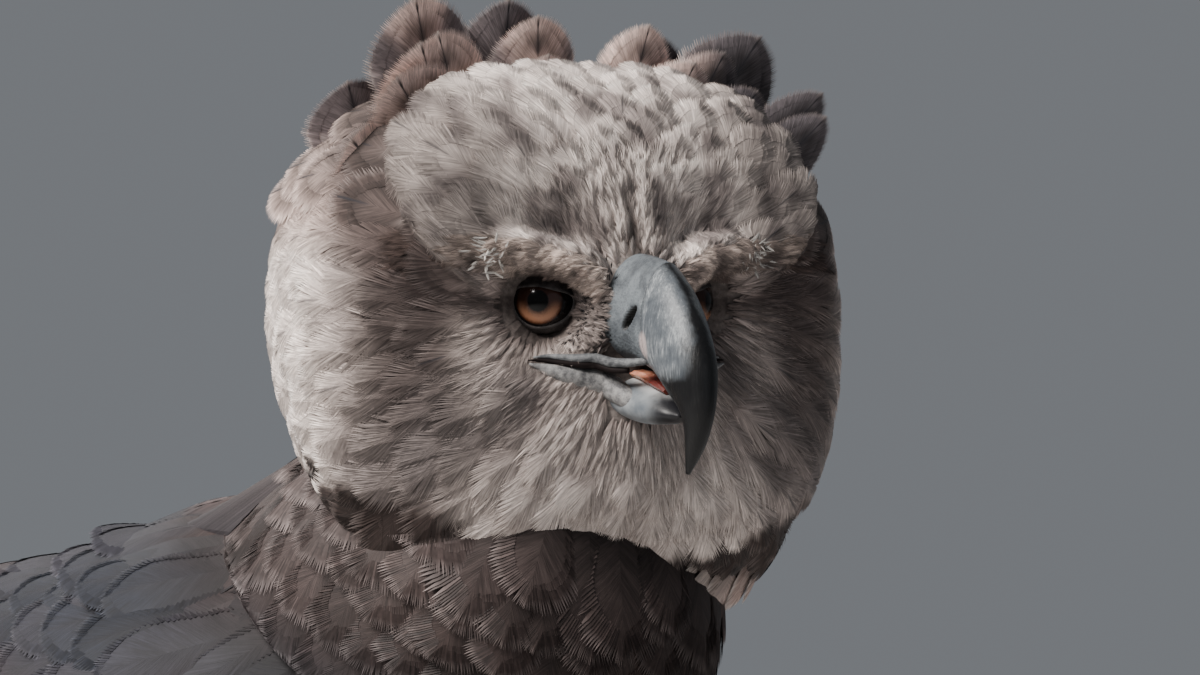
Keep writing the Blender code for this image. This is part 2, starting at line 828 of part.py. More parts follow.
def wing_vane(side, root, tip, height, half):
    """One wing feather: root and tip as (share of the length, angle), height as (root, tip)."""
    sections = []
    for share, width in LONG_VANE if tip[0] > 0.6 else VANE:
        t = root[0] + (tip[0] - root[0]) * share
        frame = wing_frame(t)
        angle = math.radians(root[1] + (tip[1] - root[1]) * share)
        middle = height[0] + (height[1] - height[0]) * share
        thick = VANE_THICKNESS * (1 - TIP_THINNING * share)
        rows = ([], [])
        for edge in (-1, 1):
            spot = angle + edge * half * width / (frame[3] + middle)
            level = middle - edge * width * WING_SHINGLE * WING_OVERLAP / 2
            rows[0].append(body_point(frame, side * spot, level - thick / 2))
            rows[1].append(body_point(frame, side * spot, level + thick / 2))
        sections.append(rows)
    return vane(sections)


def wing_vanes(side):
    draw = random.Random(11)
    made = []
    for count, root_t, tip_top, tip_low, angle_top, angle_low, low, high in WING_TIERS:
        radius = wing_frame(root_t)[3]
        pitch = math.radians(angle_low - angle_top) * radius / max(count - 1, 1)
        for i in range(count):
            share = i / (count - 1)
            angle = angle_top + (angle_low - angle_top) * share
            tip_t = tip_top + (tip_low - tip_top) * share + draw.uniform(-0.012, 0.012)
            place = (angle - along_wing(WING_TOP, root_t)) / (
                along_wing(WING_BOTTOM, root_t) - along_wing(WING_TOP, root_t)
            )
            sunk = min(low * MM, wing_core_depth(root_t) * plate_profile(place) - ROOT_SINK)
            spread = radius / (wing_frame(tip_t)[3] + high * MM)
            tip_angle = min(angle * (1 + 0.25 * (spread - 1)), angle + 12)
            made.append(
                wing_vane(
                    side,
                    (root_t, angle),
                    (tip_t, tip_angle),
                    (sunk, high * MM),
                    pitch / 2 * WING_OVERLAP,
                )
            )
    return made


def build_wing(side, finish):
    """The folded wing: a thin body under tiers of feathers, laid against the trunk."""
    name = "wing_right" if side > 0 else "wing_left"
    wing = wing_plate(side, name, finish, wing_core_depth)
    fuse(wing, wing_vanes(side))
    cut(wing, [torso_space()])
    return wing


def wing_space(side):
    """The room a wing takes at its underside, with a gap, for what passes beneath it."""
    return wing_plate(side, "free", None, lambda t: WING_ROOM, GAP, WING_SPREAD)


# Tail


# Body of the tail under its coverts: share of the length, half width and thickness in mm
TAIL_CORE = ((-0.05, 30, 34), (0.02, 34, 34), (0.10, 34, 27), (0.17, 30, 19), (0.22, 24, 9))
TAIL_FEATHERS = 12
TAIL_LAYER = 1.05 * MM
TAIL_FAN = math.radians(8.5)
TAIL_FEATHER_WIDTH = 0.036
TAIL_COVERTS = ((-1, 0.34), (1, 0.36), (0, 0.42))


def tail_vane(root, turn, level, rise, length, width):
    """A feather of the tail: turned sideways in the fan, at a level, rising by so much to its tip."""
    along = Vector((0, math.cos(TAIL_DROP), -math.sin(TAIL_DROP)))
    up = Vector((0, math.sin(TAIL_DROP), math.cos(TAIL_DROP)))
    out = along * math.cos(turn) + Vector((math.sin(turn), 0, 0))
    beside = Vector((math.cos(turn), 0, 0)) - along * math.sin(turn)
    sections = []
    for share, size in LONG_VANE:
        thick = VANE_THICKNESS * (1 - TIP_THINNING * share)
        centre = root + out * (length * share) + up * (level + rise * share)
        rows = ([], [])
        for edge in (-1, 1):
            spot = centre + beside * (edge * width / 2 * size)
            rows[0].append(spot - up * (thick / 2))
            rows[1].append(spot + up * (thick / 2))
        sections.append(rows)
    return vane(sections)


def build_tail(finish):
    along = Vector((0, math.cos(TAIL_DROP), -math.sin(TAIL_DROP)))
    up = Vector((0, math.sin(TAIL_DROP), math.cos(TAIL_DROP)))
    root = side_point(*TAIL_ROOT)
    rings = []
    for share, half, thick in TAIL_CORE:
        centre = root + along * (TAIL_LENGTH * share)
        ring = []
        for j in range(14):
            angle = 2 * math.pi * j / 14
            ring.append(
                centre + Vector((math.sin(angle) * half * MM, 0, 0)) + up * (math.cos(angle) * thick / 2 * MM)
            )
        rings.append(ring)
    tail = loft("tail", rings, finish)
    pieces = []
    for i in range(TAIL_FEATHERS):
        place = (i // 2 + 0.5) * (1 if i % 2 else -1) / (TAIL_FEATHERS / 2)
        level = TAIL_LAYER * ((TAIL_FEATHERS - 1) / 2 - i)
        length = TAIL_LENGTH * (1 - 0.05 * abs(place))
        start = root + along * (0.05 * TAIL_LENGTH) + Vector((place * 0.02, 0, 0))
        length -= 0.05 * TAIL_LENGTH
        pieces.append(tail_vane(start, place * TAIL_FAN, level, 0, length, TAIL_FEATHER_WIDTH))
    for over in (1, -1):
        for k, (place, reach) in enumerate(TAIL_COVERTS):
            start = root + Vector((place * 0.012, 0, 0)) + up * (over * 7 * MM)
            level = over * (2.4 + 1.2 * k) * MM
            pieces.append(
                tail_vane(start, place * TAIL_FAN, level, -over * 1.2 * MM, TAIL_LENGTH * reach, 0.042)
            )
    fuse(tail, pieces)
    cut(tail, [torso_space()])
    return tail


# Legs


def leg_name(part, side):
    return part + ("_right" if side > 0 else "_left")


def build_thigh(side, finish):
    rows = smooth_rows(THIGH, 9)
    rings = []
    for i, (forward, height, half_side, half_ahead) in enumerate(rows):
        share = i / (len(rows) - 1)
        across = -side * (HIP_SIDE + (FOOT_SIDE - HIP_SIDE) * share)
        ring = []
        for j in range(16):
            angle = 2 * math.pi * j / 16
            ring.append(
                side_point(
                    forward + math.cos(angle) * half_ahead, height, across + math.sin(angle) * half_side
                )
            )
        rings.append(ring)
    return loft(leg_name("thigh", side), rings, finish)


SCUTE_STEP = 0.9 * MM  # how far each plate of the leg stands out over the next one
SCUTE_LAP = 0.6 * MM
TARSUS_SCUTES = 9


def build_tarsus(side, finish):
    across = -side * FOOT_SIDE
    top = side_point(*TARSUS_TOP, across) - Vector((0, 0, GAP))
    bottom = side_point(*TARSUS_BOTTOM, across) + Vector((0, 0, GAP))
    rings = []
    for i in range(TARSUS_SCUTES):
        for edge in (0, 1):
            share = (i + edge) / TARSUS_SCUTES
            if edge and i < TARSUS_SCUTES - 1:
                share -= SCUTE_LAP / (top - bottom).length
            size = 1 + 0.1 * (2 * share - 1) ** 2
            centre = top.lerp(bottom, share)
            ring = []
            for j in range(12):
                a = 2 * math.pi * j / 12
                front = max(0, -math.cos(a)) ** 0.5
                radius = TARSUS_RADIUS * size + edge * SCUTE_STEP * front
                ring.append(centre + Vector((math.sin(a) * radius, math.cos(a) * radius * 1.1, 0)))
            rings.append(ring)
    return loft(leg_name("tarsus", side), rings, finish)


def toe_heading(side, degrees):
    """Unit vector of a toe: positive degrees turn it towards the body's midline."""
    angle = math.radians(degrees)
    return Vector((side * math.sin(angle), -math.cos(angle), 0))


TOE_SCUTES = 4
# Along a toe: share, size and height of its middle in mm, with a pad under each joint
TOE_SHAPE = ((0.0, 1.15, 12), (0.25, 1.1, 11), (0.5, 1.0, 9.5), (0.8, 0.95, 9), (1, 0.82, 9))


def along_toe(share):
    shares, sizes, heights = zip(*TOE_SHAPE)
    return float(np.interp(share, shares, sizes)), float(np.interp(share, shares, heights))


def toe_rings(side, heading, length):
    base = side_point(0, 0, -side * FOOT_SIDE)
    out = toe_heading(side, heading)
    beside = Vector((0, 0, 1)).cross(out)
    rings = []
    for i in range(TOE_SCUTES):
        for edge in (0, 1):
            share = (i + edge) / TOE_SCUTES
            if edge == 0 and i:
                share += SCUTE_LAP / length
            size, height = along_toe(share)
            centre = base + out * (length * share) + Vector((0, 0, height * MM))
            ring = []
            for j in range(8):
                angle = 2 * math.pi * j / 8
                over = max(0, math.sin(angle)) ** 0.5
                radius = TOE_RADIUS * size + (SCUTE_STEP * over if edge and i < TOE_SCUTES - 1 else 0)
                point = (
                    centre
                    + beside * (math.cos(angle) * radius)
                    + Vector((0, 0, math.sin(angle) * radius * 1.25))
                )
                point.z = max(point.z, 0)
                ring.append(point)
            rings.append(ring)
    return rings


def build_foot(side, finish):
    base = side_point(0, 0, -side * FOOT_SIDE)
    rings = []
    for height, size in ((0, 0.9), (8, 1.15), (17, 1.12), (26, 1.0)):
        rings.append(
            [
                base + Vector((math.sin(a) * 0.0145 * size, math.cos(a) * 0.0165 * size + 0.003, height * MM))
                for a in (2 * math.pi * j / 16 for j in range(16))
            ]
        )
    foot = loft(leg_name("foot", side), rings, finish)
    toes = [loft("toe", toe_rings(side, heading, length), None) for _, heading, length, _ in TOES]
    fuse(foot, toes)
    return foot


def build_claw(side, toe, finish):
    name, heading, length, claw = toe
    base = side_point(0, 0, -side * FOOT_SIDE)
    out = toe_heading(side, heading)
    start = base + out * (length + GAP) + Vector((0, 0, 9 * MM))
    stops = 7
    arc = math.radians(105)
    radius = claw / arc
    centre = start
    pitch = math.radians(28)
    rings = []
    beside = Vector((0, 0, 1)).cross(out)
    spots = []
    for i in range(stops):
        spots.append((centre.copy(), pitch))
        centre = centre + (out * math.cos(pitch) + Vector((0, 0, math.sin(pitch)))) * (claw / (stops - 1))
        pitch -= arc / (stops - 1)
    lowest = min(spot.z for spot, _ in spots)
    lift = 1.5 * MM - lowest
    for i, (spot, pitch) in enumerate(spots):
        share = i / (stops - 1)
        size = CLAW_RADIUS * (1 - share) ** 0.75 + 0.5 * MM
        normal = out * -math.sin(pitch) + Vector((0, 0, math.cos(pitch)))
        if i == 0:
            normal = Vector((0, 0, 1))
        spot = spot + Vector((0, 0, lift * share))
        rings.append(
            [
                spot + beside * (math.cos(a) * size * 0.85) + normal * (math.sin(a) * size)
                for a in (2 * math.pi * j / 8 for j in range(8))
            ]
        )
    return loft(leg_name("claw_" + name, side), rings, finish)


def build():
    grey = material("head_feathers", (0.42, 0.38, 0.37), 0.9)
    slate = material("slate_feathers", (0.045, 0.047, 0.055), 0.7)
    white = material("belly_feathers", (0.62, 0.60, 0.57), 0.9)
    bars = material("tail_feathers", (0.10, 0.10, 0.11), 0.8)
    cere_skin = material("cere_skin", (0.16, 0.18, 0.20), 0.5)
    horn = material("beak_horn", (0.18, 0.20, 0.23), 0.35)
    claw_horn = material("claw_horn", (0.02, 0.02, 0.022), 0.3)
    scales = material("leg_scales", (0.62, 0.42, 0.08), 0.55)
    amber = material("eye", (0.45, 0.20, 0.06), 0.05)
    flesh = material("tongue", (0.65, 0.18, 0.10), 0.4)

    torso = build_torso(slate)
    neck = build_neck(slate)
    cut(neck, [head_ball("free", None, head_radius, NECK_ROOM)])
    build_head(grey)
    build_cere(cere_skin)
    bill_piece("upper_beak", UPPER_BEAK, 14, horn)
    bill_piece("lower_beak", LOWER_BEAK, 12, horn)
    tongue = bill_piece("tongue", TONGUE, 8, flesh)
    cut(tongue, [bill_piece("free", LOWER_BEAK, 12, None, GAP)])
    for side, name in ((1, "eye_right"), (-1, "eye_left")):
        ball(name, eye_centre(side), eye_axis(side), EYE_RADIUS, 8, 12, amber)
    for side in (1, -1):
        build_wing(side, slate)
    build_tail(bars)
    for side in (1, -1):
        thigh = build_thigh(side, white)
        cut(thigh, [torso_space(), wing_space(side)])
        build_tarsus(side, scales)
        build_foot(side, scales)
        for toe in TOES:
            build_claw(side, toe, claw_horn)
    for made in bpy.context.scene.collection.all_objects:
        shade(made)


def clear_scene():
    for old in list(bpy.data.objects):
        bpy.data.objects.remove(old)


clear_scene()
build()
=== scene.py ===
"""Looks of a life-size standing harpy eagle: skin, feathers, bill, eyes, legs, light and camera.

The bird faces -Y, its right side is -X, and the head is turned to its right. Sizes are in metres.
"""

import math

import bpy
import numpy as np
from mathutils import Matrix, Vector


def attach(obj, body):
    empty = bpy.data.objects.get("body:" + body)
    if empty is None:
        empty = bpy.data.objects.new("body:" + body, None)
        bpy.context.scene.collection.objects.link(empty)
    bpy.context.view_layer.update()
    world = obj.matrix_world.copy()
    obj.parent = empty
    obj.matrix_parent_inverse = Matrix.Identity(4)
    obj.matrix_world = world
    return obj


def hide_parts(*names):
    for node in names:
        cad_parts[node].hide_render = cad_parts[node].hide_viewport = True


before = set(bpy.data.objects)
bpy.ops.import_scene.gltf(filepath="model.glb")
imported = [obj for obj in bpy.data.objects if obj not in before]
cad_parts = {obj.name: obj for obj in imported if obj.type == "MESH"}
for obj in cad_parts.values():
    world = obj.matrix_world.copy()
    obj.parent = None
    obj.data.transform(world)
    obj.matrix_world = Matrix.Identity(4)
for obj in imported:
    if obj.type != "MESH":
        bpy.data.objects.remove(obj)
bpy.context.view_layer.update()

MM = 0.001
FEET_Y = -0.122
HEAD_TURN = math.radians(26)
HEAD_FORWARD, HEAD_HEIGHT = 0.205, 0.600  # middle of the head, before the feet and over the ground

# Trunk stations, as in the part: forward, height, half width, half height up, half height down
TRUNK = (
    (-0.222, 0.338, 0.036, 0.030, 0.032),
    (-0.170, 0.352, 0.064, 0.052, 0.058),
    (-0.100, 0.378, 0.088, 0.078, 0.086),
    (-0.020, 0.406, 0.098, 0.090, 0.104),
    (0.060, 0.432, 0.098, 0.090, 0.108),
    (0.120, 0.456, 0.088, 0.093, 0.098),
    (0.158, 0.482, 0.076, 0.082, 0.082),
    (0.175, 0.503, 0.077, 0.078, 0.083),
    (0.190, 0.522, 0.075, 0.070, 0.081),
    (0.204, 0.542, 0.070, 0.060, 0.075),
)

# Radius of the head round its ball, in mm, against the angle from straight ahead
HEAD_ANGLES = (0, 12, 24, 36, 50, 66, 84, 100, 120, 140, 160, 180)
HEAD_RADII = {
    "crown": (60, 63, 61.5, 63, 68, 74, 77, 76, 70, 63, 60, 60),
    "side": (60, 61, 56, 52, 66, 88, 99, 97, 91, 80, 67, 60),
    "jowl": (60, 61, 62, 65, 77, 99, 109, 100, 88, 78, 66, 60),
    "throat": (60, 62, 66, 71, 80, 90, 94, 85, 74, 65, 61, 60),
}
JOWL_TURN = 138  # degrees from the crown round to the jowl
# The hollow of each eye: forward, right and up from the ball, depth and size, in mm
EYE_DENT_AT = (42, 31, 3)
EYE_DENT_DEPTH = 6.5
EYE_DENT_SIZE = 14
EYES_FROM_BALL = (44, 0, 3)  # the point between the eyes
EYE_PLACE = (-9, 24, 0)
EYE_RADIUS = 12.5
EYE_LOOK = math.radians(38)

# Ledge over each eye: forward, right and up from between the eyes, and thickness
BROW = ((9, 11, 5, 5), (6, 20, 10.5, 6.2), (1, 31, 13, 6.6), (-6, 43, 14, 5.5), (-18, 54, 12, 3.5))
# Lips of each side: forward, right and up from between the eyes, and radius
LIP = (
    (28, 6.5, -19.4, 1.1), (20, 10.6, -19.9, 1.5), (12, 16.6, -19.6, 1.6),
    (4, 22.8, -18.6, 1.3), (-1, 27, -17.6, 0.8), (-4, 29.5, -17.2, 0.3),
)
LOWER_LIP = (
    (21, 4.5, -33.5, 2.6), (14, 9.0, -30.4, 3.9), (7, 17.0, -26.4, 4.1), (0, 25, -22.0, 2.5), (-5, 30, -18.4, 0.3)
)
MOUTH_LINE = (
    (21, 9.6, -22.4, 0.9), (14, 14.6, -22.2, 1.2), (8, 19.6, -21.2, 1.2),
    (2, 25, -19.7, 0.9), (-2, 28.2, -18.4, 0.6), (-5, 30.4, -17.6, 0.2),
)
NOSTRIL = (23.6, 10.6, -5.6)
NOSTRIL_LEAN = 0.95  # forward for each step up
# Bill stations: outer and inner point, each forward and up from between the eyes, and width
CERE = (
    ((12, 14.5), (8, -19), 27),
    ((20, 13.5), (18, -19.5), 23),
    ((29.4, 11.6), (29.4, -23.5), 20),
)
UPPER_BEAK = (
    ((29.8, 11.4), (29.8, -23.8), 20),
    ((39, 4.5), (34, -27), 19.5),
    ((47, -5), (38, -30.5), 18),
    ((53, -15.5), (41.5, -33.5), 15.5),
    ((55.5, -26), (44, -36.5), 12.5),
    ((54.5, -37), (45.2, -41), 9.5),
    ((50, -47), (44.5, -47.5), 6.5),
    ((43.2, -55.5), (42, -55), 1.6),
)
LOWER_BEAK = (
    ((2, -23.5), (2, -34), 22),
    ((12, -24.5), (12, -38), 20),
    ((20, -26.5), (20, -39.5), 18),
    ((28, -29.5), (28, -39.8), 14.5),
    ((35, -33), (35.5, -38.8), 10),
    ((39, -36), (39.4, -37.4), 3),
)

# Crest feathers: how far forward they stand, root (right, up), tip (right, up), width, all in mm
CREST = (
    (-50.5, (38, 55), (54, 99.5), 38),
    (-54.0, (14, 60), (16, 99.7), 31),
    (-46.5, (5, 60), (8.6, 94), 31),
    (-38.5, (6, 58), (7.7, 81), 22),
    (-42.5, (34, 54), (48.4, 88), 30),
    (-44.0, (-26, 58), (-32, 91.6), 26),
    (-40.5, (-44, 52), (-58.6, 82.6), 25),
    (-49.0, (-52, 48), (-75.3, 88.4), 36),
    (-45.5, (-70, 38), (-97.7, 69.7), 21),
    (-39.0, (-70, 34), (-95.9, 61.6), 20),
)

# More of them in front, on the scene's side only, in the same measures
CREST_FRONT = (
    (-43.0, (38, 48), (55, 84.5), 42),
    (-38.0, (40, 40), (67, 73), 42),
    (-35.0, (34, 42), (54, 68), 38),
    (-40.0, (50, 26), (83, 53), 44),
    (-41.0, (54, 10), (91, 31), 44),
    (-40.0, (-58, 26), (-86, 50), 38),
    (-41.0, (-60, 8), (-92, 28), 40),
    (-36.0, (24, 52), (33, 78), 30),
    (-37.0, (-34, 52), (-46, 79), 27),
    (-38.0, (-52, 44), (-70, 70), 26),
    (-58.0, (30, 52), (36, 92), 30),
    (-60.0, (-38, 52), (-46, 88), 30),
    (-64.0, (0, 58), (-4, 84), 30),
    (-62.0, (60, 46), (70, 72), 34),
)

# The folded wings: the surface that their feathers lie on, from shoulder to tip in the measures of the trunk,
# its upper and lower edge in degrees from the back, and the thickness in mm of the core along its length
WING_GUIDE = (
    (0.130, 0.462, 0.088, 0.084, 0.098),
    (0.060, 0.432, 0.1005, 0.0925, 0.110),
    (-0.020, 0.406, 0.1005, 0.0925, 0.106),
    (-0.100, 0.378, 0.094, 0.082, 0.088),
    (-0.170, 0.350, 0.080, 0.064, 0.070),
    (-0.250, 0.305, 0.064, 0.050, 0.056),
    (-0.335, 0.242, 0.050, 0.040, 0.044),
)
WING_TOP = (34, 24, 18, 14, 11, 9, 8)
WING_BOTTOM = (112, 116, 114, 106, 96, 84, 66)
WING_CORE = ((0, 4.5), (0.03, 8.8), (0.08, 10.2), (0.15, 9.8), (0.26, 7.0), (0.38, 3.9), (0.5, 1.8), (0.62, 0.9))

TAIL_DROP = math.radians(38)
TAIL_LENGTH = 0.400
TAIL_ROOT = (-0.2235, 0.336)
# The core of the tail: share of its length, half width and thickness in mm
TAIL_CORE = ((-0.05, 30, 34), (0.02, 34, 34), (0.10, 34, 27), (0.17, 30, 19), (0.22, 24, 9))
HIP_SIDE = 0.052
FOOT_SIDE = 0.062
# Thigh stations: forward, height, half width and half depth
THIGH = (
    (0.020, 0.370, 0.044, 0.074),
    (0.016, 0.300, 0.046, 0.066),
    (0.005, 0.240, 0.038, 0.052),
    (-0.011, 0.185, 0.028, 0.036),
    (-0.0245, 0.142, 0.019, 0.023),
)

# How deep the skin lies under the feathers' outer faces, in mm, and the height of most roots
COAT_DEPTH = 4.0
ROOTS = -COAT_DEPTH

SIDES = ((1, "right"), (-1, "left"))


# Small sums on arrays of points


def unit(v):
    return v / np.maximum(np.linalg.norm(v, axis=-1, keepdims=True), 1e-12)


def ease(value, low, high):
    share = np.clip((np.asarray(value, float) - low) / (high - low), 0, 1)
    return share * share * (3 - 2 * share)


def blend(a, b, share):
    return a + (b - a) * np.asarray(share)[..., None]


def ring_angles(count):
    return np.arange(count) * 2 * math.pi / count


def square_to(vector, axis):
    """The part of a vector that is square to an axis, as a unit."""
    return unit(vector - axis * (vector @ axis))


def smooth_rows(rows, count):
    """Rows of numbers resampled along a smooth curve through them."""
    rows = np.array(rows, float)
    padded = np.vstack([2 * rows[0] - rows[1], rows, 2 * rows[-1] - rows[-2]])
    t = np.linspace(0, len(rows) - 1, count)
    i = np.minimum(t.astype(int), len(rows) - 2)
    x = (t - i)[:, None]
    a, b, c, d = (padded[i + k] for k in range(4))
    return 0.5 * (2 * b + (c - a) * x + (2 * a - 5 * b + 4 * c - d) * x**2 + (3 * b - a - 3 * c + d) * x**3)


# The head, round its ball

FORWARD = np.array((-math.sin(HEAD_TURN), -math.cos(HEAD_TURN), 0.0))
RIGHT = np.array((-math.cos(HEAD_TURN), math.sin(HEAD_TURN), 0.0))
UP = np.array((0.0, 0.0, 1.0))
BALL = np.array((0.0, FEET_Y - HEAD_FORWARD, HEAD_HEIGHT))


def from_ball(forward, right, up):
    """A point by its mm forward, right and up from the middle of the head."""
    parts = [np.asarray(x, float)[..., None] * MM for x in (forward, right, up)]
    return BALL + parts[0] * FORWARD + parts[1] * RIGHT + parts[2] * UP


def from_eyes(forward, right, up):
    return from_ball(
        np.asarray(forward, float) + EYES_FROM_BALL[0], right, np.asarray(up, float) + EYES_FROM_BALL[2]
    )


def head_parts(points):
    """Points as mm forward, right and up from the middle of the head."""
    rel = (points - BALL) / MM
    return rel @ FORWARD, rel @ RIGHT, rel @ UP


ANGLE_ROWS = {key: smooth_rows(np.column_stack((HEAD_ANGLES, radii)), 240) for key, radii in HEAD_RADII.items()}
BROW_LINE = smooth_rows(BROW, 15)


def brow_spots():
    spots = []
    for side in (1, -1):
        centre = from_eyes(BROW_LINE[:, 0], side * BROW_LINE[:, 1], BROW_LINE[:, 2])
        rel = centre - BALL
        spots.append((unit(rel), np.linalg.norm(rel, axis=-1) + BROW_LINE[:, 3] * 0.9 * MM, BROW_LINE[:, 3]))
    return [np.concatenate(group) for group in zip(*spots)]


def off_ahead(direction):
    """Radians from straight ahead."""
    return np.arccos(np.clip(direction @ FORWARD, -1, 1))


def off_crown(direction):
    """Radians round from the crown, right side positive."""
    return np.arctan2(direction @ RIGHT, direction @ UP)


def plain_radius(direction):
    """Radius of the head in metres in each direction, without its brows."""
    ahead, turn = np.degrees(off_ahead(direction)), off_crown(direction)
    crown, side, jowl, throat = (np.interp(ahead, rows[:, 0], rows[:, 1]) for rows in ANGLE_ROWS.values())
    alpha = np.degrees(np.abs(turn))
    over = side + (crown - side) * np.cos(turn) ** 4
    under = np.where(
        alpha < JOWL_TURN,
        side + (jowl - side) * ease(alpha, 90, JOWL_TURN),
        jowl + (throat - jowl) * ease(alpha, JOWL_TURN, 180),
    )
    full = np.where(alpha < 90, over, under)
    spot = direction * full[..., None]
    away = np.stack((spot @ FORWARD, np.abs(spot @ RIGHT), spot @ UP), -1) - EYE_DENT_AT
    reach = np.linalg.norm(away, axis=-1)
    return (full - EYE_DENT_DEPTH * np.exp(-((reach / EYE_DENT_SIZE) ** 2))) * MM


BROW_AT, BROW_REACH, BROW_SIZE = brow_spots()
BROW_RISE = BROW_REACH - plain_radius(BROW_AT)

# Where the feathers of the forehead end, in degrees from straight ahead, against degrees from the crown
CAP_EDGE = ((0, 22, 54, 62, 77, 92), (87, 84, 76, 70, 57, 44))


def past_cap(ahead, turn):
    """Degrees past the rim of the forehead's feathers; only meant above the eyes."""
    return ahead - np.interp(np.abs(turn), *CAP_EDGE)


def folds(direction):
    """Low folds of the plumage over the solid's plain head, in mm."""
    ahead, turn = np.degrees(off_ahead(direction)), np.abs(np.degrees(off_crown(direction)))
    gap = past_cap(ahead, turn)
    above = 1 - ease(turn, 74, 88)
    step = 2.4 * ease(gap, -34, -6) * (1 - ease(gap, 0, 3)) - 3.2 * ease(gap, 0, 3) * (1 - ease(gap, 4, 18))
    beside = ease(turn, 70, 86) * (1 - ease(turn, 118, 140))
    hollow = -3.4 * np.exp(-(((ahead - 61) / 6.5) ** 2)) + 1.2 * np.exp(-(((ahead - 78) / 8) ** 2))
    parting = -2.6 * np.exp(-((np.degrees(direction @ RIGHT) / 2.4) ** 2)) * (1 - ease(ahead, 30, 44)) * (turn < 90)
    bulge = 2.0 * ease(turn, 132, 150) * np.exp(-(((ahead - 52) / 16) ** 2))
    crease = -2.4 * np.exp(-(((turn - 133) / 7) ** 2)) * ease(ahead, 34, 44) * (1 - ease(ahead, 70, 88))
    return above * step + beside * hollow + parting + bulge + crease


def head_radius(direction):
    base = plain_radius(direction)
    rise = np.zeros_like(base)
    near = (direction @ FORWARD) > 0.3
    chosen = direction[near]
    close = chosen @ BROW_AT.T
    gap = np.arccos(np.clip(close, -1, 1)) * (base[near][:, None] / MM)
    rise[near] = np.max(BROW_RISE * np.exp(-((gap / (BROW_SIZE + 1.0)) ** 4)), axis=1)
    return base + np.maximum(rise, 0) + folds(direction) * MM


def head_surface(direction, lift):
    return BALL + direction * (head_radius(direction) + lift)[..., None]


def head_direction(ahead, turn):
    """Unit vectors by degrees from straight ahead and degrees round from the crown, right side positive."""
    a, t = np.radians(ahead)[..., None], np.radians(turn)[..., None]
    return FORWARD * np.cos(a) + (UP * np.cos(t) + RIGHT * np.sin(t)) * np.sin(a)


# Trunk, wings and thighs, by two numbers each


def tube_surface(stations, scale=1.0):
    """A surface over smooth stations: by share of the length and angle from the back over the right."""
    rows = smooth_rows(stations, 160)
    steps = unit(np.gradient(rows[:, :2], axis=0)) * scale
    grid = np.linspace(0, 1, len(rows))

    def surface(share, angle, lift=0.0):
        row = [np.interp(share, grid, rows[:, i]) for i in range(5)]
        ahead, rise = (np.interp(share, grid, steps[:, i]) for i in range(2))
        height = np.where(np.cos(angle) > 0, row[3], row[4]) + lift
        over = np.cos(angle) * height
        return np.stack(
            (
                -np.sin(angle) * (row[2] + lift),
                FEET_Y - row[0] + rise * over,
                row[1] + ahead * over,
            ),
            -1,
        )

    return surface


trunk_surface = tube_surface(TRUNK)
wing_surface = tube_surface(WING_GUIDE, -1.0)
TRUNK_SHOWN = 0.80  # share of the trunk's length that the skin follows, up into the collar
# The rounded top of the neck, under the head
COLLAR = (
    (0.158, 0.482, 0.076, 0.082, 0.082),
    (0.175, 0.503, 0.077, 0.078, 0.081),
    (0.190, 0.522, 0.075, 0.070, 0.072),
    (0.203, 0.541, 0.068, 0.060, 0.057),
    (0.212, 0.556, 0.054, 0.048, 0.040),
    (0.218, 0.568, 0.040, 0.034, 0.024),
    (0.221, 0.577, 0.022, 0.018, 0.010),
)
collar_surface = tube_surface(COLLAR)


def thigh_surface(side):
    rows = smooth_rows(THIGH, 80)
    grid = np.linspace(0, 1, len(rows))

    def surface(share, angle, lift=0.0):
        ahead, height, half_side, half_ahead = (np.interp(share, grid, rows[:, i]) for i in range(4))
        across = -side * (HIP_SIDE + (FOOT_SIDE - HIP_SIDE) * share)
        return np.stack(
            (
                across + np.sin(angle) * (half_side + lift),
                FEET_Y - ahead - np.cos(angle) * (half_ahead + lift),
                height + 0 * angle,
            ),
            -1,
        )

    return surface


TAIL_ALONG = np.array((0.0, math.cos(TAIL_DROP), -math.sin(TAIL_DROP)))
TAIL_UP = np.array((0.0, math.sin(TAIL_DROP), math.cos(TAIL_DROP)))
TAIL_START = np.array((0.0, FEET_Y - TAIL_ROOT[0], TAIL_ROOT[1]))


# How feathers lie: each gives points for across, along and height, one row for each feather


def lie_on_head(direction, heading):
    """Feathers rooted in these directions from the ball, pointing along headings."""
    along = unit(heading - direction * np.sum(heading * direction, -1, keepdims=True))
    beside = np.cross(direction, along)
    start = direction * head_radius(direction)[:, None]

    def place(across, up, height):
        spot = start[:, None] + along[:, None] * up[..., None] + beside[:, None] * across[..., None]
        return head_surface(unit(spot), height)

    return place, head_surface(direction, 0 * direction[:, 0])


def lie_on_surface(surface, p, q, heading):
    """Feathers rooted at (p, q) of a surface, pointing along headings in world measure."""
    step = 1e-3
    here = surface(p, q)
    by_p = (surface(p + step, q) - here) / step
    by_q = (surface(p, q + step) - here) / step
    normal = unit(np.cross(by_p, by_q))
    along = unit(heading - normal * np.sum(heading * normal, -1, keepdims=True))
    beside = np.cross(normal, along)
    pp, pq, qq = (np.sum(a * b, -1) for a, b in ((by_p, by_p), (by_p, by_q), (by_q, by_q)))
    scale = pp * qq - pq * pq

    def solve(vector):
        x, y = np.sum(by_p * vector, -1), np.sum(by_q * vector, -1)
        return (qq * x - pq * y) / scale, (pp * y - pq * x) / scale

    (ap, aq), (bp, bq) = solve(along), solve(beside)

    def place(across, up, height):
        share = p[:, None] + ap[:, None] * up + bp[:, None] * across
        angle = q[:, None] + aq[:, None] * up + bq[:, None] * across
        return surface(share, angle, height)

    return place, here


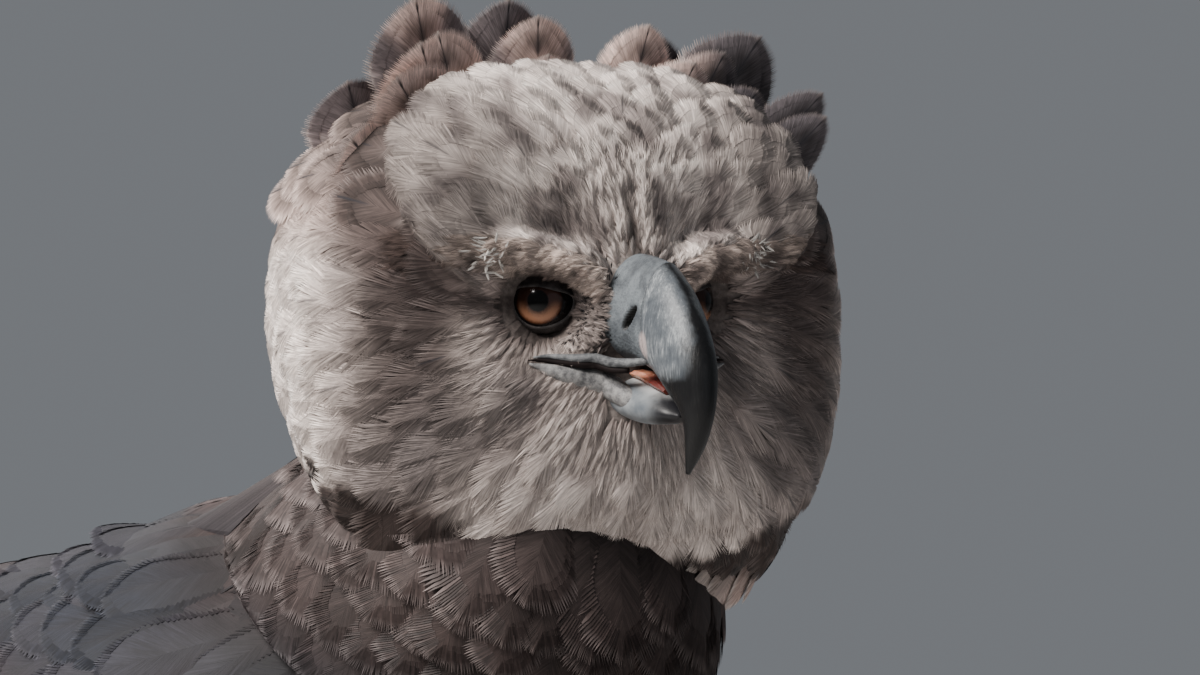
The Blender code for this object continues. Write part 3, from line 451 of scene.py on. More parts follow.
def lie_flat(root, along, beside, over, bend=0.0):
    """Feathers on planes of their own: root, direction, sideways direction and outward direction."""

    def place(across, up, height):
        drop = height + bend * up**2
        return (
            root[:, None]
            + along[:, None] * up[..., None]
            + beside[:, None] * across[..., None]
            + over[:, None] * drop[..., None]
        )

    return place, root


# Feather shapes

WALK = 90  # steps in which a barb is followed from the shaft to the feather's outline
HAIR_GRAIN = 0.45 * MM  # width of the finest streaks in a vane
BARB_HALF = (0.09 * MM, 1.5 * MM)  # least and most half width of a barb
CLUSTERS = 7  # leans to choose from, where groups of barbs part


class Kind:
    """The build of one kind of feather; its lengths are shares of the feather's own length.

    barbs: on each side, fringe: the loose barb ends past the blade, shaft: how far up the shaft goes,
    fan: lean in degrees of the first and the last barb, wide: half width, loose: how uneven the tips are,
    split: how far groups of barbs part, belly: where the feather is widest
    """

    def __init__(
        self, barbs, fringe, shaft, fan, wide, loose, split, roundness=2.4, base=0.6, curl=0.35, taper=0.3, belly=0.5
    ):
        self.barbs, self.loose, self.split, self.wide = barbs, loose, split, wide
        share = (np.arange(barbs) + 0.6) / barbs
        self.start = shaft * share**0.85
        lean = np.radians(fan[0] + (fan[1] - fan[0]) * share**1.25)
        turn = lean[:, None] * (1 - curl * np.linspace(0, 1, WALK))
        step = 1.6 / WALK
        u = (np.cumsum(np.sin(turn), axis=1) - np.sin(turn)) * step
        v = (np.cumsum(np.cos(turn), axis=1) - np.cos(turn)) * step + self.start[:, None]
        low = base + (1 - base) * np.clip(v / belly, 0, 1) ** 0.6
        tip = np.clip((v - belly) / (1 - belly), 0, 1)
        high = np.clip(1 - tip**roundness, 0, 1) ** (1 / roundness)
        inside = (u / wide < np.where(v < belly, low, high)) & (v < 1)
        inside[:, :3] = True
        last = np.where(inside.all(1), WALK, np.argmin(inside, axis=1)) - 1
        row = np.arange(barbs)[:, None]

        def along(shares):
            spot = shares * last[:, None]
            i = np.minimum(spot.astype(int), WALK - 2)
            x = spot - i
            return [grid[row, i] * (1 - x) + grid[row, i + 1] * x for grid in (u, v)]

        edge = np.clip(1 - fringe / (last * step), 0.3, 1)[:, None] if fringe < 1 else np.zeros((barbs, 1))
        three = np.linspace(0, 1, 3)
        self.blade = along(edge * three) if fringe < 1 else None
        self.strip = along(0.8 * edge + (1 - 0.8 * edge) * three)
        self.step = [np.gradient(x, axis=0) for x in self.strip]
        self.run = [np.gradient(x, axis=1) for x in self.strip]
        self.thin = 1 - np.clip((three - taper) / (1 - taper), 0, 1) ** 1.6


def feather_mesh(draw, kind, place, length, width, low, high, paint, roll=0.12, cup=0.12, rise=1.0):
    """Many feathers as arrays: points, triangles, colours, grain and each point's place in its feather.

    length, width, low and high are for each feather: full length, half width, and height over the skin
    at its root and its tip. roll tilts the barbs, cup lowers the sides, rise bends the tip up late.
    """
    count, barbs = len(length), kind.barbs
    size_u, size_v = (x[:, None, None, None] for x in (width / kind.wide, length))
    side = np.array((-1.0, 1.0))[:, None, None]

    def fit(values, like):
        return values.reshape(-1, *[1] * (like.ndim - 1))

    def heights(u, v):
        share = np.clip(v / fit(length, v), 0, 1.1)
        return fit(low, v) + fit(high - low, v) * share**rise - cup * u**2 / fit(width, v)

    across, along = (np.broadcast_to(x[None, None], (count, 2, *x.shape)) for x in kind.strip)
    across = across * side
    # each barb's own length, and groups of barbs that part from the next group
    reach = 1 - kind.loose * draw.random((count, 2, barbs, 1)) ** 2
    group = np.cumsum(draw.random((count, 2, barbs)) < 0.22, axis=2) % CLUSTERS
    table = draw.normal(0, kind.split, (count, 2, CLUSTERS))
    lean = np.take_along_axis(table, group, axis=2)[..., None]
    lean = lean + draw.normal(0, kind.split * 0.3, (count, 2, barbs, 1))
    u, v = (across - across[..., :1]) * reach, (along - along[..., :1]) * reach
    u, v = across[..., :1] + u + lean * v * side, along[..., :1] + v - lean * u * side
    u_m, v_m = u * size_u, v * size_v
    run_u, run_v = np.gradient(u_m, axis=3), np.gradient(v_m, axis=3)
    run = np.hypot(run_u, run_v) + 1e-9
    plain = np.hypot(kind.run[0] * size_u, kind.run[1] * size_v) + 1e-9
    apart = np.abs(kind.step[0] * kind.run[1] - kind.step[1] * kind.run[0]) * size_u * size_v / plain
    half = np.clip(0.62 * apart, *BARB_HALF) * kind.thin
    edges_u = np.stack((u_m + run_v / run * half, u_m - run_v / run * half), -1)
    edges_v = np.stack((v_m - run_u / run * half, v_m + run_u / run * half), -1)
    tilt = half[..., None] * roll * np.array((-1.0, 1.0)) * 4 * side[..., None]
    height = heights(edges_u, edges_v) + tilt + draw.normal(0, 1, (count, 2, barbs, 1, 1)) * half.mean() * roll
    keep = np.array((True, True, True, True, True, False))  # the tip is one point
    flat = [a.reshape(count, 2 * barbs, 6)[..., keep].reshape(count, -1) for a in (edges_u, edges_v, height)]
    barb_tone = np.repeat(draw.normal(0, 1, (count, 2 * barbs)), 5, axis=1)
    first = np.tile(kind.start, 2) + np.repeat((0, 9), barbs)
    grain = np.repeat(first, 5)
    strips = (np.arange(2 * barbs) * 5)[:, None, None] + np.array(((0, 1, 3), (0, 3, 2), (2, 3, 4)))[None]
    faces = strips.reshape(-1, 3)
    if kind.blade:
        across, along = (np.broadcast_to(x[None, None], (count, 2, *x.shape)) for x in kind.blade)
        u, v = across * side * size_u, along * size_v
        extra = [u, v, heights(u, v)]
        index = 10 * barbs + np.arange(6 * barbs).reshape(2, barbs, 3)
        grids = np.concatenate((index[0], index[1][::-1]))
        a, b = grids[:-1, :-1], grids[:-1, 1:]
        c, d = grids[1:, :-1], grids[1:, 1:]
        cells = np.stack((np.stack((a, b, d), -1), np.stack((a, d, c), -1)), 2).reshape(-1, 3)
        faces = np.concatenate((faces, cells))
        flat = [np.concatenate((x, y.reshape(count, -1)), 1) for x, y in zip(flat, extra)]
        soft = draw.normal(0, 0.6, (count, 2 * barbs))
        barb_tone = np.concatenate((barb_tone, np.repeat(soft, 3, axis=1)), 1)
        grain = np.concatenate((grain, np.repeat(first, 3)))
    per = flat[0].shape[1]
    points = place(*flat)
    faces = (np.arange(count)[:, None, None] * per + faces[None]).reshape(-1, 3)
    local_u, local_v = flat[0] / width[:, None], flat[1] / length[:, None]
    colours = paint(points, local_u, local_v, draw.normal(0, 1, count)[:, None], barb_tone)
    grain = np.stack(
        (
            grain * length[:, None] / HAIR_GRAIN,
            flat[1] / (12 * HAIR_GRAIN),
            np.broadcast_to(draw.random(count)[:, None] * 90, flat[1].shape),
        ),
        -1,
    )
    return points.reshape(-1, 3), faces, colours.reshape(-1, 3), grain.reshape(-1, 3), local_u, local_v


PATCH = 0.003  # size of one feather's patch in the bake map


class Coat:
    """One piece of plumage, gathered batch by batch into one mesh."""

    def __init__(self, name, chart):
        self.name, self.chart = name, chart
        self.points, self.faces, self.colours, self.grains, self.spots = [], [], [], [], []
        self.total = 0

    def add(self, draw, kind, lie, length, width, low, high, paint, **more):
        place, roots = lie
        length, width = np.asarray(length) * MM, np.asarray(width) * MM
        count = len(length)
        measures = ((width, 1), (low, MM), (high, MM))
        width, low, high = (np.broadcast_to(np.asarray(x, float) * scale, (count,)) for x, scale in measures)
        points, faces, colours, grain, u, v = feather_mesh(
            draw, kind, place, length, width, low, high, paint, **more
        )
        spot = self.chart(roots)
        patch = np.stack((np.clip(u, -1.2, 1.2) * 0.5, np.clip(v, 0, 1) - 0.5), -1) * PATCH
        self.spots.append((spot[:, None] + patch).reshape(-1, 2))
        self.points.append(points)
        self.faces.append(faces + self.total)
        self.colours.append(colours)
        self.grains.append(grain)
        self.total += len(points)

    def finish(self, finish, slot):
        made = mesh_object(self.name, np.concatenate(self.points), np.concatenate(self.faces), finish)
        paint_mesh(made.data, np.concatenate(self.colours))
        grain = made.data.attributes.new("grain", "FLOAT_VECTOR", "POINT")
        grain.data.foreach_set("vector", np.concatenate(self.grains).astype(np.float32).ravel())
        set_uv(made.data, np.concatenate(self.spots))
        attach(made, "root")


def paint_mesh(mesh, colours):
    layer = mesh.attributes.new("plumage", "FLOAT_COLOR", "POINT")
    layer.data.foreach_set("color", np.column_stack((colours, np.ones(len(colours)))).astype(np.float32).ravel())


def new_object(name, data):
    made = bpy.data.objects.new(name, data)
    bpy.context.scene.collection.objects.link(made)
    return made


def mesh_object(name, points, faces, finish=None, smooth=True):
    mesh = bpy.data.meshes.new(name)
    mesh.vertices.add(len(points))
    mesh.vertices.foreach_set("co", np.ascontiguousarray(points, np.float32).ravel())
    faces = np.ascontiguousarray(faces, np.int32)
    sides = faces.shape[1]
    mesh.loops.add(faces.size)
    mesh.loops.foreach_set("vertex_index", faces.ravel())
    mesh.polygons.add(len(faces))
    mesh.polygons.foreach_set("loop_start", np.arange(0, faces.size, sides, dtype=np.int32))
    if smooth:
        mesh.polygons.foreach_set("use_smooth", np.ones(len(faces), bool))
    mesh.update(calc_edges=True)
    if finish:
        mesh.materials.append(finish)
    return new_object(name, mesh)


def set_uv(mesh, at_points):
    """Writes the bake map from one place for each point of the mesh."""
    layer = mesh.uv_layers.new(name="OFBake")
    index = np.zeros(len(mesh.loops), np.int32)
    mesh.loops.foreach_get("vertex_index", index)
    layer.data.foreach_set("uv", at_points[index].astype(np.float32).ravel())


# The unwrap of the skin: head, trunk, thighs and tail, each in its own square


def chart_head(points):
    direction = unit(points - BALL)
    ahead, turn = off_ahead(direction) / math.pi, off_crown(direction)
    return np.stack((0.26 + 0.24 * ahead * np.sin(turn), 0.26 + 0.24 * ahead * np.cos(turn)), -1)


TRUNK_ROWS = smooth_rows(TRUNK, 60)
TRUNK_LINE = np.column_stack((FEET_Y - TRUNK_ROWS[:, 0], TRUNK_ROWS[:, 1]))
TRUNK_LENGTH = 0.45  # of that line, roughly
THIGH_SIDE = 0.057  # half way between hip and foot


def trunk_parts(points):
    """Share of the trunk's length and angle from the back, for points near it."""
    gap = np.linalg.norm(points[..., None, 1:] - TRUNK_LINE, axis=-1)
    best = np.argmin(gap, axis=-1)
    share = best / (len(TRUNK_LINE) - 1)
    step = unit(np.gradient(TRUNK_LINE, axis=0))[best]
    rel = points[..., 1:] - TRUNK_LINE[best]
    share = share + np.sum(rel * step, -1) / TRUNK_LENGTH
    over = np.sum(rel * np.stack((step[..., 1], -step[..., 0]), -1), -1)
    return share, np.arctan2(-points[..., 0], over)


def chart_trunk(points):
    share, angle = trunk_parts(points)
    return np.stack((0.53 + 0.44 * np.clip(share, 0, 1), 0.26 + 0.076 * angle), -1)


def chart_thigh(points):
    right = points[..., 0] < 0
    centre = np.where(right, -THIGH_SIDE, THIGH_SIDE)
    angle = np.arctan2(points[..., 0] - centre, FEET_Y - points[..., 1])
    return np.stack((np.where(right, 0.27, 0.77) + 0.07 * angle, 0.53 + (points[..., 2] - 0.1) * 0.8), -1)


def chart_tail(points):
    rel = points - TAIL_START
    under = (rel @ TAIL_UP) < 0
    return np.stack((0.53 + (rel @ TAIL_ALONG), 0.80 + 0.8 * points[..., 0] + np.where(under, 0.11, 0)), -1)


# Shader maths


ORDER = ("first", "second")  # for the sockets of a node that share a name


class Wire:
    """A node socket that can be used in sums."""

    def __init__(self, finish, socket):
        self.finish, self.socket = finish, socket

    def __add__(self, other):
        return self.finish.math("ADD", self, other)

    def __sub__(self, other):
        return self.finish.math("SUBTRACT", self, other)

    def __rsub__(self, other):
        return self.finish.math("SUBTRACT", other, self)

    def __mul__(self, other):
        return self.finish.math("MULTIPLY", self, other)

    def __truediv__(self, other):
        return self.finish.math("DIVIDE", self, other)

    def __rtruediv__(self, other):
        return self.finish.math("DIVIDE", other, self)

    def __pow__(self, other):
        return self.finish.math("POWER", self, other)

    def __rpow__(self, other):
        return self.finish.math("POWER", other, self)

    __radd__, __rmul__ = __add__, __mul__

    def over(self, low, high):
        """0 at low, 1 at high, smooth between."""
        return self.finish.node(
            "ShaderNodeMapRange", {"interpolation_type": "SMOOTHSTEP"}, Value=self, From_Min=low, From_Max=high
        )["Result"]


class Finish:
    """A material whose nodes are added by name."""

    def __init__(self, name, roughness=0.6, **shader_values):
        self.material = bpy.data.materials.new(name)
        self.material.use_nodes = True
        self.tree = self.material.node_tree
        self.shader = self.tree.nodes["Principled BSDF"]
        self.feed("Roughness", roughness)
        for key, value in shader_values.items():
            self.feed(key.replace("_", " "), value)

    def feed(self, name, value):
        """A value or a wire for one of the shader's own sockets."""
        self.plug(self.shader.inputs[name], value)

    def plug(self, place, value):
        if isinstance(value, Wire):
            self.tree.links.new(value.socket, place)
        elif isinstance(value, (tuple, list)) and place.type == "RGBA":
            place.default_value = (*value[:3], 1)
        else:
            place.default_value = value

    def node(self, kind, settings=None, **values):
        """Adds a node: its settings first, then its sockets by name, or as first and second where names repeat."""
        node = self.tree.nodes.new(kind)
        for key, value in (settings or {}).items():
            setattr(node, key, value)
        for key, value in values.items():
            if key in ORDER:
                place = node.inputs[ORDER.index(key)]
            else:
                place = next(x for x in node.inputs if x.name == key.replace("_", " ") and x.enabled)
            self.plug(place, value)
        return {socket.name: Wire(self, socket) for socket in reversed(node.outputs) if socket.enabled}

    def math(self, operation, *values):
        return self.node("ShaderNodeMath", {"operation": operation}, **dict(zip(ORDER, values)))["Value"]

    def vector_math(self, operation, *values):
        made = self.node("ShaderNodeVectorMath", {"operation": operation}, **dict(zip(ORDER, values)))
        return made["Value" if operation == "DOT_PRODUCT" else "Vector"]

    def mix(self, share, a, b, how="MIX"):
        return self.node("ShaderNodeMix", {"data_type": "RGBA", "blend_type": how}, Factor=share, A=a, B=b)["Result"]

    def noise(self, place, scale, detail=3.0, roughness=0.55):
        return self.node(
            "ShaderNodeTexNoise", None, Vector=place, Scale=scale, Detail=detail, Roughness=roughness
        )["Fac"]

    def place(self):
        return self.node("ShaderNodeTexCoord")["Object"]

    def stretch(self, place, scale):
        """Coordinates drawn out for streaks, by a factor for each direction."""
        return self.node("ShaderNodeMapping", {"vector_type": "TEXTURE"}, Vector=place, Scale=scale)["Vector"]

    def done(self, colour, roughness, height=None, depth=0.0, strength=1.0):
        """Feeds the shader what changes over the surface: colour, roughness and relief."""
        self.feed("Base Color", colour)
        self.feed("Roughness", roughness)
        if height:
            self.feed("Normal", self.node(
                "ShaderNodeBump", None, Strength=strength, Distance=depth, Height=height
            )["Normal"])
        return self.material


def plumage_finish(name, roughness, sheen, even_scale=None):
    """Feathers: the painted plumage with a soft bloom, finely streaked along the barbs, or else evenly at a scale."""
    made = Finish(name, Sheen_Weight=sheen, Sheen_Roughness=0.5, Specular_IOR_Level=0.16)
    ground = made.node("ShaderNodeAttribute", {"attribute_name": "plumage"})["Color"]
    if even_scale:
        fine = made.noise(made.place(), even_scale, 3.0, 0.65)
    else:
        fine = made.noise(made.node("ShaderNodeAttribute", {"attribute_name": "grain"})["Vector"], 1.0, 3.0, 0.65)
    broad = made.noise(made.place(), 70.0, 3.0)
    share = fine.over(0.28, 0.74) * 0.75 + broad.over(0.3, 0.7) * 0.25
    shade = made.mix(share, (0.50, 0.48, 0.475), (1.40, 1.37, 1.34))
    return made.done(made.mix(1.0, ground, shade, "MULTIPLY"), fine * 0.2 + roughness - 0.1, fine, 0.00025, 0.5)


# Colours of the plumage, as reflectance

PALE = np.array((0.55, 0.495, 0.465))
FACE = np.array((0.40, 0.350, 0.325))
FACE_SHADE = np.array((0.25, 0.212, 0.200))
ROSE = np.array((0.36, 0.275, 0.250))
ASH = np.array((0.165, 0.142, 0.138))
DUSK = np.array((0.050, 0.038, 0.036))
UMBER = np.array((0.030, 0.021, 0.019))
SLATE = np.array((0.019, 0.021, 0.028))
PLUM = np.array((0.030, 0.022, 0.023))
SOOT = np.array((0.008, 0.008, 0.010))
WHITE = np.array((0.60, 0.58, 0.55))
CROWN_LEFT = np.array((0.100, 0.090, 0.096))
CREST_REAR = np.array((0.33, 0.285, 0.300))
CREST_LEFT = np.array((0.092, 0.082, 0.090))
TAIL_BAND = np.array((0.20, 0.19, 0.19))
TAIL_TIP = np.array((0.40, 0.38, 0.36))
# Tints that are laid over a colour
# painted shade: feathers go darker towards the root, where the feathers above overlap them
ROOT_SHADE = np.array((0.74, 0.705, 0.70))
BROW_TINT = np.array((0.84, 0.78, 0.74))
COOL_TINT = np.array((0.93, 0.98, 1.06))
WARM_TINT = np.array((1.08, 0.97, 0.95))

THIGH_BAR_SPACING = 0.0135
TAIL_BANDS = (0.42, 0.62, 0.81)  # shares of the tail's length


def wobble(points, scale, seed=0.0):
    """A soft uneven value from -1 to 1 over space."""
    p = points / scale + seed
    x, y, z = p[..., 0], p[..., 1], p[..., 2]
    return (
        np.sin(x * 1.7 + 1.3 * np.sin(y * 1.1 + seed))
        + np.sin(y * 1.9 + 1.1 * np.sin(z * 1.3))
        + np.sin(z * 1.6 + 1.2 * np.sin(x * 0.9))
    ) / 3


def head_ground(points, lower=0.0):
    """Ground colour of the head and of the dark collar under it; lower moves the line between them down, in mm."""
    f, r, u = head_parts(points)
    away = np.sqrt(f**2 + r**2 + u**2) + 1e-6
    ahead = np.degrees(np.arccos(np.clip(f / away, -1, 1)))
    turn = np.abs(np.degrees(np.arctan2(r, u)))
    uneven, fine = wobble(points, 0.017), wobble(points, 0.006, 3.0)
    colour = blend(FACE, FACE_SHADE, np.clip(0.38 + 0.5 * uneven + 0.4 * fine, 0, 1))
    # the ruff: grey behind the hollow, which is painted dark as shade, then the pale rim
    ruff = ease(ahead, 66, 76)
    colour = blend(colour, blend(FACE, ASH * 1.3, np.clip(0.5 + 0.45 * uneven, 0, 1)), 0.6 * ruff)
    # painted shade: the hollow before the ruff goes dark
    hollow = ease(ahead, 51, 60) * (1 - ease(ahead, 68, 78)) * ease(turn, 56, 74) * (1 - ease(turn, 120, 138))
    colour = blend(colour, DUSK, 0.93 * hollow)
    colour = blend(colour, PALE * 1.16, 0.92 * ease(ahead, 76, 90))
    # lower cheek, then the pale throat below its crease
    cheek = np.exp(-(((turn - 124) / 12) ** 2)) * ease(ahead, 34, 44) * (1 - ease(ahead, 74, 88))
    colour = blend(colour, ASH * 0.8, np.clip(cheek * (0.85 + 0.3 * fine), 0, 1))
    throat = ease(turn, 134, 148)
    colour = blend(colour, blend(PALE, FACE, np.clip(0.4 + 0.6 * fine, 0, 1)), 0.8 * throat)
    # painted shade under the bill, on the chin
    under_bill_shade = (1 - ease(ahead, 38, 56)) * ease(turn, 128, 150)
    colour = blend(colour, ASH * 1.1, 0.45 * under_bill_shade)
    # forehead, mottled up to its rim, and a dark band of painted shade behind the rim
    gap = past_cap(ahead, turn)
    above = 1 - ease(turn, 70, 84)
    mottle = ease(wobble(points, 0.0075, 1.0) + 0.9 * wobble(points, 0.0036, 2.0), -0.9, 0.5)
    cap = above * (1 - ease(gap, -1, 4))
    colour = blend(colour, blend(ASH * 1.05, PALE * 1.08, mottle), 0.85 * cap)
    colour = blend(colour, PALE * 1.05, 0.35 * cap * ease(gap, -12, -3) * (1 - ease(turn, 24, 40)))
    sides = cap * ease(gap, -30, -14) * ease(turn, 24, 44)
    colour = blend(colour, blend(ASH * 0.6, FACE * 0.62, mottle), 0.88 * sides)
    # painted shade in the groove where the forehead's feathers part over the bill
    parting = np.exp(-((r / 2.4) ** 2)) * (u > 5) * (1 - ease(ahead, 30, 42))
    colour = blend(colour, DUSK, 0.8 * parting)
    # the crown, rosy, and greyer towards the left
    crown, left = above * ease(gap, 2, 6), ease(-r, 10, 60)
    rosy = blend(ROSE * 0.92, ROSE * 0.66, np.clip(0.5 + 0.6 * uneven, 0, 1))
    colour = blend(colour, rosy, 0.9 * crown * (1 - 0.55 * left))
    colour = blend(colour, CROWN_LEFT, 0.6 * crown * left)
    # painted shade: the dark band behind the forehead's rim, where its feathers overhang
    band = ease(gap, -3, 3) * (1 - ease(gap, 14, 27)) * (1 - ease(turn, 84, 98)) * ease(turn, 20, 42)
    colour = blend(colour, DUSK * 1.2, 0.9 * band)
    # sooty round the eyes and on the bare skin before them
    lores = np.exp(-(((f - 56) / 9) ** 2) - ((np.abs(r) - 17) / 7) ** 2 - ((u + 3) / 9) ** 2)
    colour = blend(colour, ASH * 0.75, 0.75 * lores)
    bare = ease(f, 50, 58) * (1 - ease(np.abs(r), 22, 30)) * ease(u, -25, -21) * (1 - ease(u, -12, -8))
    colour = blend(colour, UMBER * 0.7, 0.9 * bare)
    from_eye = np.sqrt((f - 35 - 7) ** 2 + (np.abs(r) - 24 - 5) ** 2 + (u - 3) ** 2)
    colour = blend(colour, DUSK, 0.95 * (1 - ease(from_eye, 11, 18)))
    nape = ease(ahead, 106, 124)
    colour = blend(colour, blend(ASH, DUSK * 1.4, ease(ahead, 116, 150)), nape)
    # the head's feathers end below in a curved line, over the dark collar
    edge = -80 + 0.30 * np.abs(r) - 0.17 * np.clip(f, -50, 70) + 2 * fine - lower
    return blend(colour, UMBER, 1 - ease(u, edge - 3, edge + 2))


def dark_ground(points):
    """Ground colour of collar, back and wings."""
    turn = np.degrees(np.abs(trunk_parts(points)[1]))
    dark = blend(SLATE, PLUM, ease(wobble(points, 0.03, 5.0), -0.4, 0.7)) * 0.88
    dark = blend(dark, SOOT, 0.45 * ease(turn, 60, 100))
    f, r, u = head_parts(points)
    near = 1 - ease(np.sqrt(f**2 + r**2 + u**2), 124, 168)
    return blend(dark, blend(UMBER, DUSK, ease(u, -120, -60)), 0.85 * near)


def body_ground(points):
    """Ground colour of the trunk: dark above and on the upper breast, white below."""
    share, angle = trunk_parts(points)
    turn = np.degrees(np.abs(angle))
    return blend(dark_ground(points), WHITE, ease(turn, 108, 126) * (1 - ease(share, 0.60, 0.655)))


def thigh_ground(points):
    """White, crossed by narrow black bars."""
    wave = points[..., 2] / THIGH_BAR_SPACING + 0.35 * wobble(points, 0.02) + 0.15 * wobble(points, 0.007, 2.0)
    bar = 1 - ease(np.abs(wave % 1 - 0.5), 0.11, 0.17)
    bar = bar * (1 - ease(points[..., 2], 0.27, 0.33))
    return blend(WHITE, SOOT * 1.6, bar * 0.9)


def tone(colour, feather, barb, spread=0.10, barb_spread=0.06):
    return colour * np.exp(spread * feather + barb_spread * barb)[..., None]


def rim_share(across, along, belly=0.62):
    """0 in the middle of a feather, 1 all round its outline."""
    tip = np.clip((along - belly) / (1 - belly), 0, 1.3)
    return (np.abs(across) ** 2.3 + tip**2.3) ** (1 / 2.3)


def shaft_line(colour, across, along, width, strength, start=0.25, end=0.9):
    near = (1 - ease(np.abs(across), width * 0.4, width)) * ease(along, start, start + 0.1)
    return blend(colour, SOOT * 2.5, near * (1 - ease(along, end, end + 0.06)) * strength)


def paint_head(points, across, along, feather, barb):
    colour = head_ground(points, 4.0 * feather)
    # painted shade towards the root, under the overlapping feathers
    colour = blend(colour * ROOT_SHADE, colour, ease(along, 0.2, 0.66))
    # a pale rim, which shows most on the dark feathers
    rim = ease(rim_share(across, along), 0.80, 1.0)
    dark = 1 - ease(colour[..., :1], 0.05, 0.12)
    pale = np.minimum(colour * (1.35 + dark) + 0.02 + 0.04 * dark, 0.68)
    colour = blend(colour, pale, 0.6 * rim + 0.25 * dark[..., 0] * rim)
    colour = shaft_line(colour, across, along, 0.04, 0.7 * (feather > 1.0), 0.6)
    return tone(colour, feather, barb, 0.07, 0.17)


def paint_bib(points, across, along, feather, barb):
    """The hanging feathers under throat and cheeks: pale, with long white fringes."""
    right = head_parts(points)[1]
    colour = blend(FACE * 0.85, ROSE * 0.9, ease(np.abs(right), 30, 62))
    # painted shade: darker towards the root, where the feathers above overlap it
    colour = blend(colour * 0.5, colour * 1.15, ease(along, 0.25, 0.85))
    colour = blend(colour, WHITE, 0.6 * ease(rim_share(across, along), 0.76, 1.0))
    return tone(colour, feather, barb, 0.12, 0.16)


def paint_scallop(points, across, along, feather, barb):
    """Broad feathers of the crown: a dark crescent inside a pale fringe, partly their own marking and partly painted
    shade where the next row overlaps.
    """
    field = head_ground(points)
    rim = rim_share(across, along)
    # dark crescent: partly marking, partly painted shade under the overlapping row
    colour = blend(field, field * 0.42, ease(rim, 0.06, 0.42) * (1 - ease(rim, 0.50, 0.76)) * ease(along, 0.2, 0.5))
    colour = blend(colour, np.minimum(field * 1.5 + 0.07, 0.60), ease(rim, 0.80, 0.96))
    colour = shaft_line(colour, across, along, 0.03, 0.85, 0.62, 0.92)
    return tone(colour, feather, barb, 0.10, 0.09)


def paint_crest(points, across, along, feather, barb):
    """Standing crest feathers: rosy in front, mauve behind, plum grey on the left, with a dark crescent: painted
    shade near the root of the front feathers, where others overlap, and a marking on those behind.
    """
    f, r, _ = head_parts(points)
    left = ease(-r, 38, 62)
    rear = ease(-f, 0, 4)
    field = blend(ROSE * 2.1, CREST_REAR, rear)
    field = blend(field, CREST_LEFT, left)
    rim = rim_share(across, along, 0.66)
    bands = ease(np.sin((along + 0.05 * across**2) * 34), 0.3, 0.9) * (1 - ease(rim, 0.6, 0.75))
    colour = blend(field, field * 0.8, 0.4 * bands)
    # on the front feathers painted shade near the overlapped root, on the rear ones a marking
    crescent_and_shade = ease(rim, 0.10, 0.34) * (1 - ease(rim, 0.46 + 0.34 * rear, 0.70 + 0.20 * rear))
    colour = blend(colour, field * (0.36 + 0.14 * rear[..., None]), crescent_and_shade * ease(along, 0.3, 0.5))
    colour = blend(colour, blend(PALE * 1.2, ASH * 1.4, left), 0.9 * ease(rim, 0.82, 0.96))
    colour = shaft_line(colour, across, along, 0.028, 0.95, 0.6, 0.92)
    return tone(colour, 0.5 * feather, barb, 0.08, 0.08)


def even_paint(ground, spread, barb_spread):
    """A paint that lays one ground colour over whole feathers."""
    return lambda points, across, along, feather, barb: tone(ground(points), feather, barb, spread, barb_spread)


paint_belly = even_paint(body_ground, 0.08, 0.06)
paint_thigh = even_paint(thigh_ground, 0.06, 0.05)
paint_white = even_paint(lambda points: np.broadcast_to(WHITE * 0.9, points.shape), 0.10, 0.06)


def paint_brow(points, across, along, feather, barb):
    colour = head_ground(points) * BROW_TINT
    # painted shade: darker towards the root, under the overlapping brow feathers
    return tone(blend(colour * 0.45, colour, ease(along, 0.1, 0.7)), feather, barb, 0.22, 0.15)


def paint_orbit(points, across, along, feather, barb):
    colour = blend(head_ground(points), DUSK * 2.0, 0.5 * (1 - ease(along, 0.3, 0.9)))
    return tone(colour, feather, barb, 0.25, 0.15)


def paint_bristle(points, across, along, feather, barb):
    colour = blend(np.broadcast_to(SOOT * 1.6, points.shape), FACE_SHADE, 0.5 * (feather > 0.9))
    return tone(colour, feather, barb, 0.5)


def paint_collar(points, across, along, feather, barb):
    colour = body_ground(points)
    rim = rim_share(across, along)
    # painted shade: darker towards the root, where the feathers above overlap it
    colour = blend(colour * 0.55, colour * 1.1, ease(along, 0.3, 0.8))
    colour = blend(colour, colour * 2.6 + 0.055, 0.85 * ease(rim, 0.80, 1.0))
    return tone(colour, feather, barb, 0.2, 0.22)


def paint_body(points, across, along, feather, barb):
    colour = dark_ground(points)
    colour = colour * blend(COOL_TINT, WARM_TINT, ease(feather, -1.2, 1.2))
    rim = rim_share(across, along, 0.78)
    # painted shade: darker towards the root, where the feathers above overlap it
    colour = blend(colour * 0.6, colour * 1.2, ease(along, 0.2, 0.9))
    colour = blend(colour, colour * 2.4 + 0.03, 0.8 * ease(rim, 0.90, 1.0))
    colour = shaft_line(colour, across, along, 0.03, 0.6)
    return tone(colour, feather, barb, 0.2, 0.14)


def paint_tail(points, across, along, feather, barb):
    rel = (points - TAIL_START) @ TAIL_ALONG / TAIL_LENGTH
    colour = np.broadcast_to(SOOT * 1.3, points.shape)
    for centre in TAIL_BANDS:
        band = 1 - ease(np.abs(rel - centre + 0.006 * np.sin(across * 9)), 0.026, 0.042)
        colour = blend(colour, TAIL_BAND, band)
    colour = blend(colour, TAIL_TIP, ease(rel, 0.965, 0.985))
    colour = shaft_line(colour, across, along, 0.03, 0.6)
    return tone(colour, feather, barb, 0.08, 0.06)


# Skin


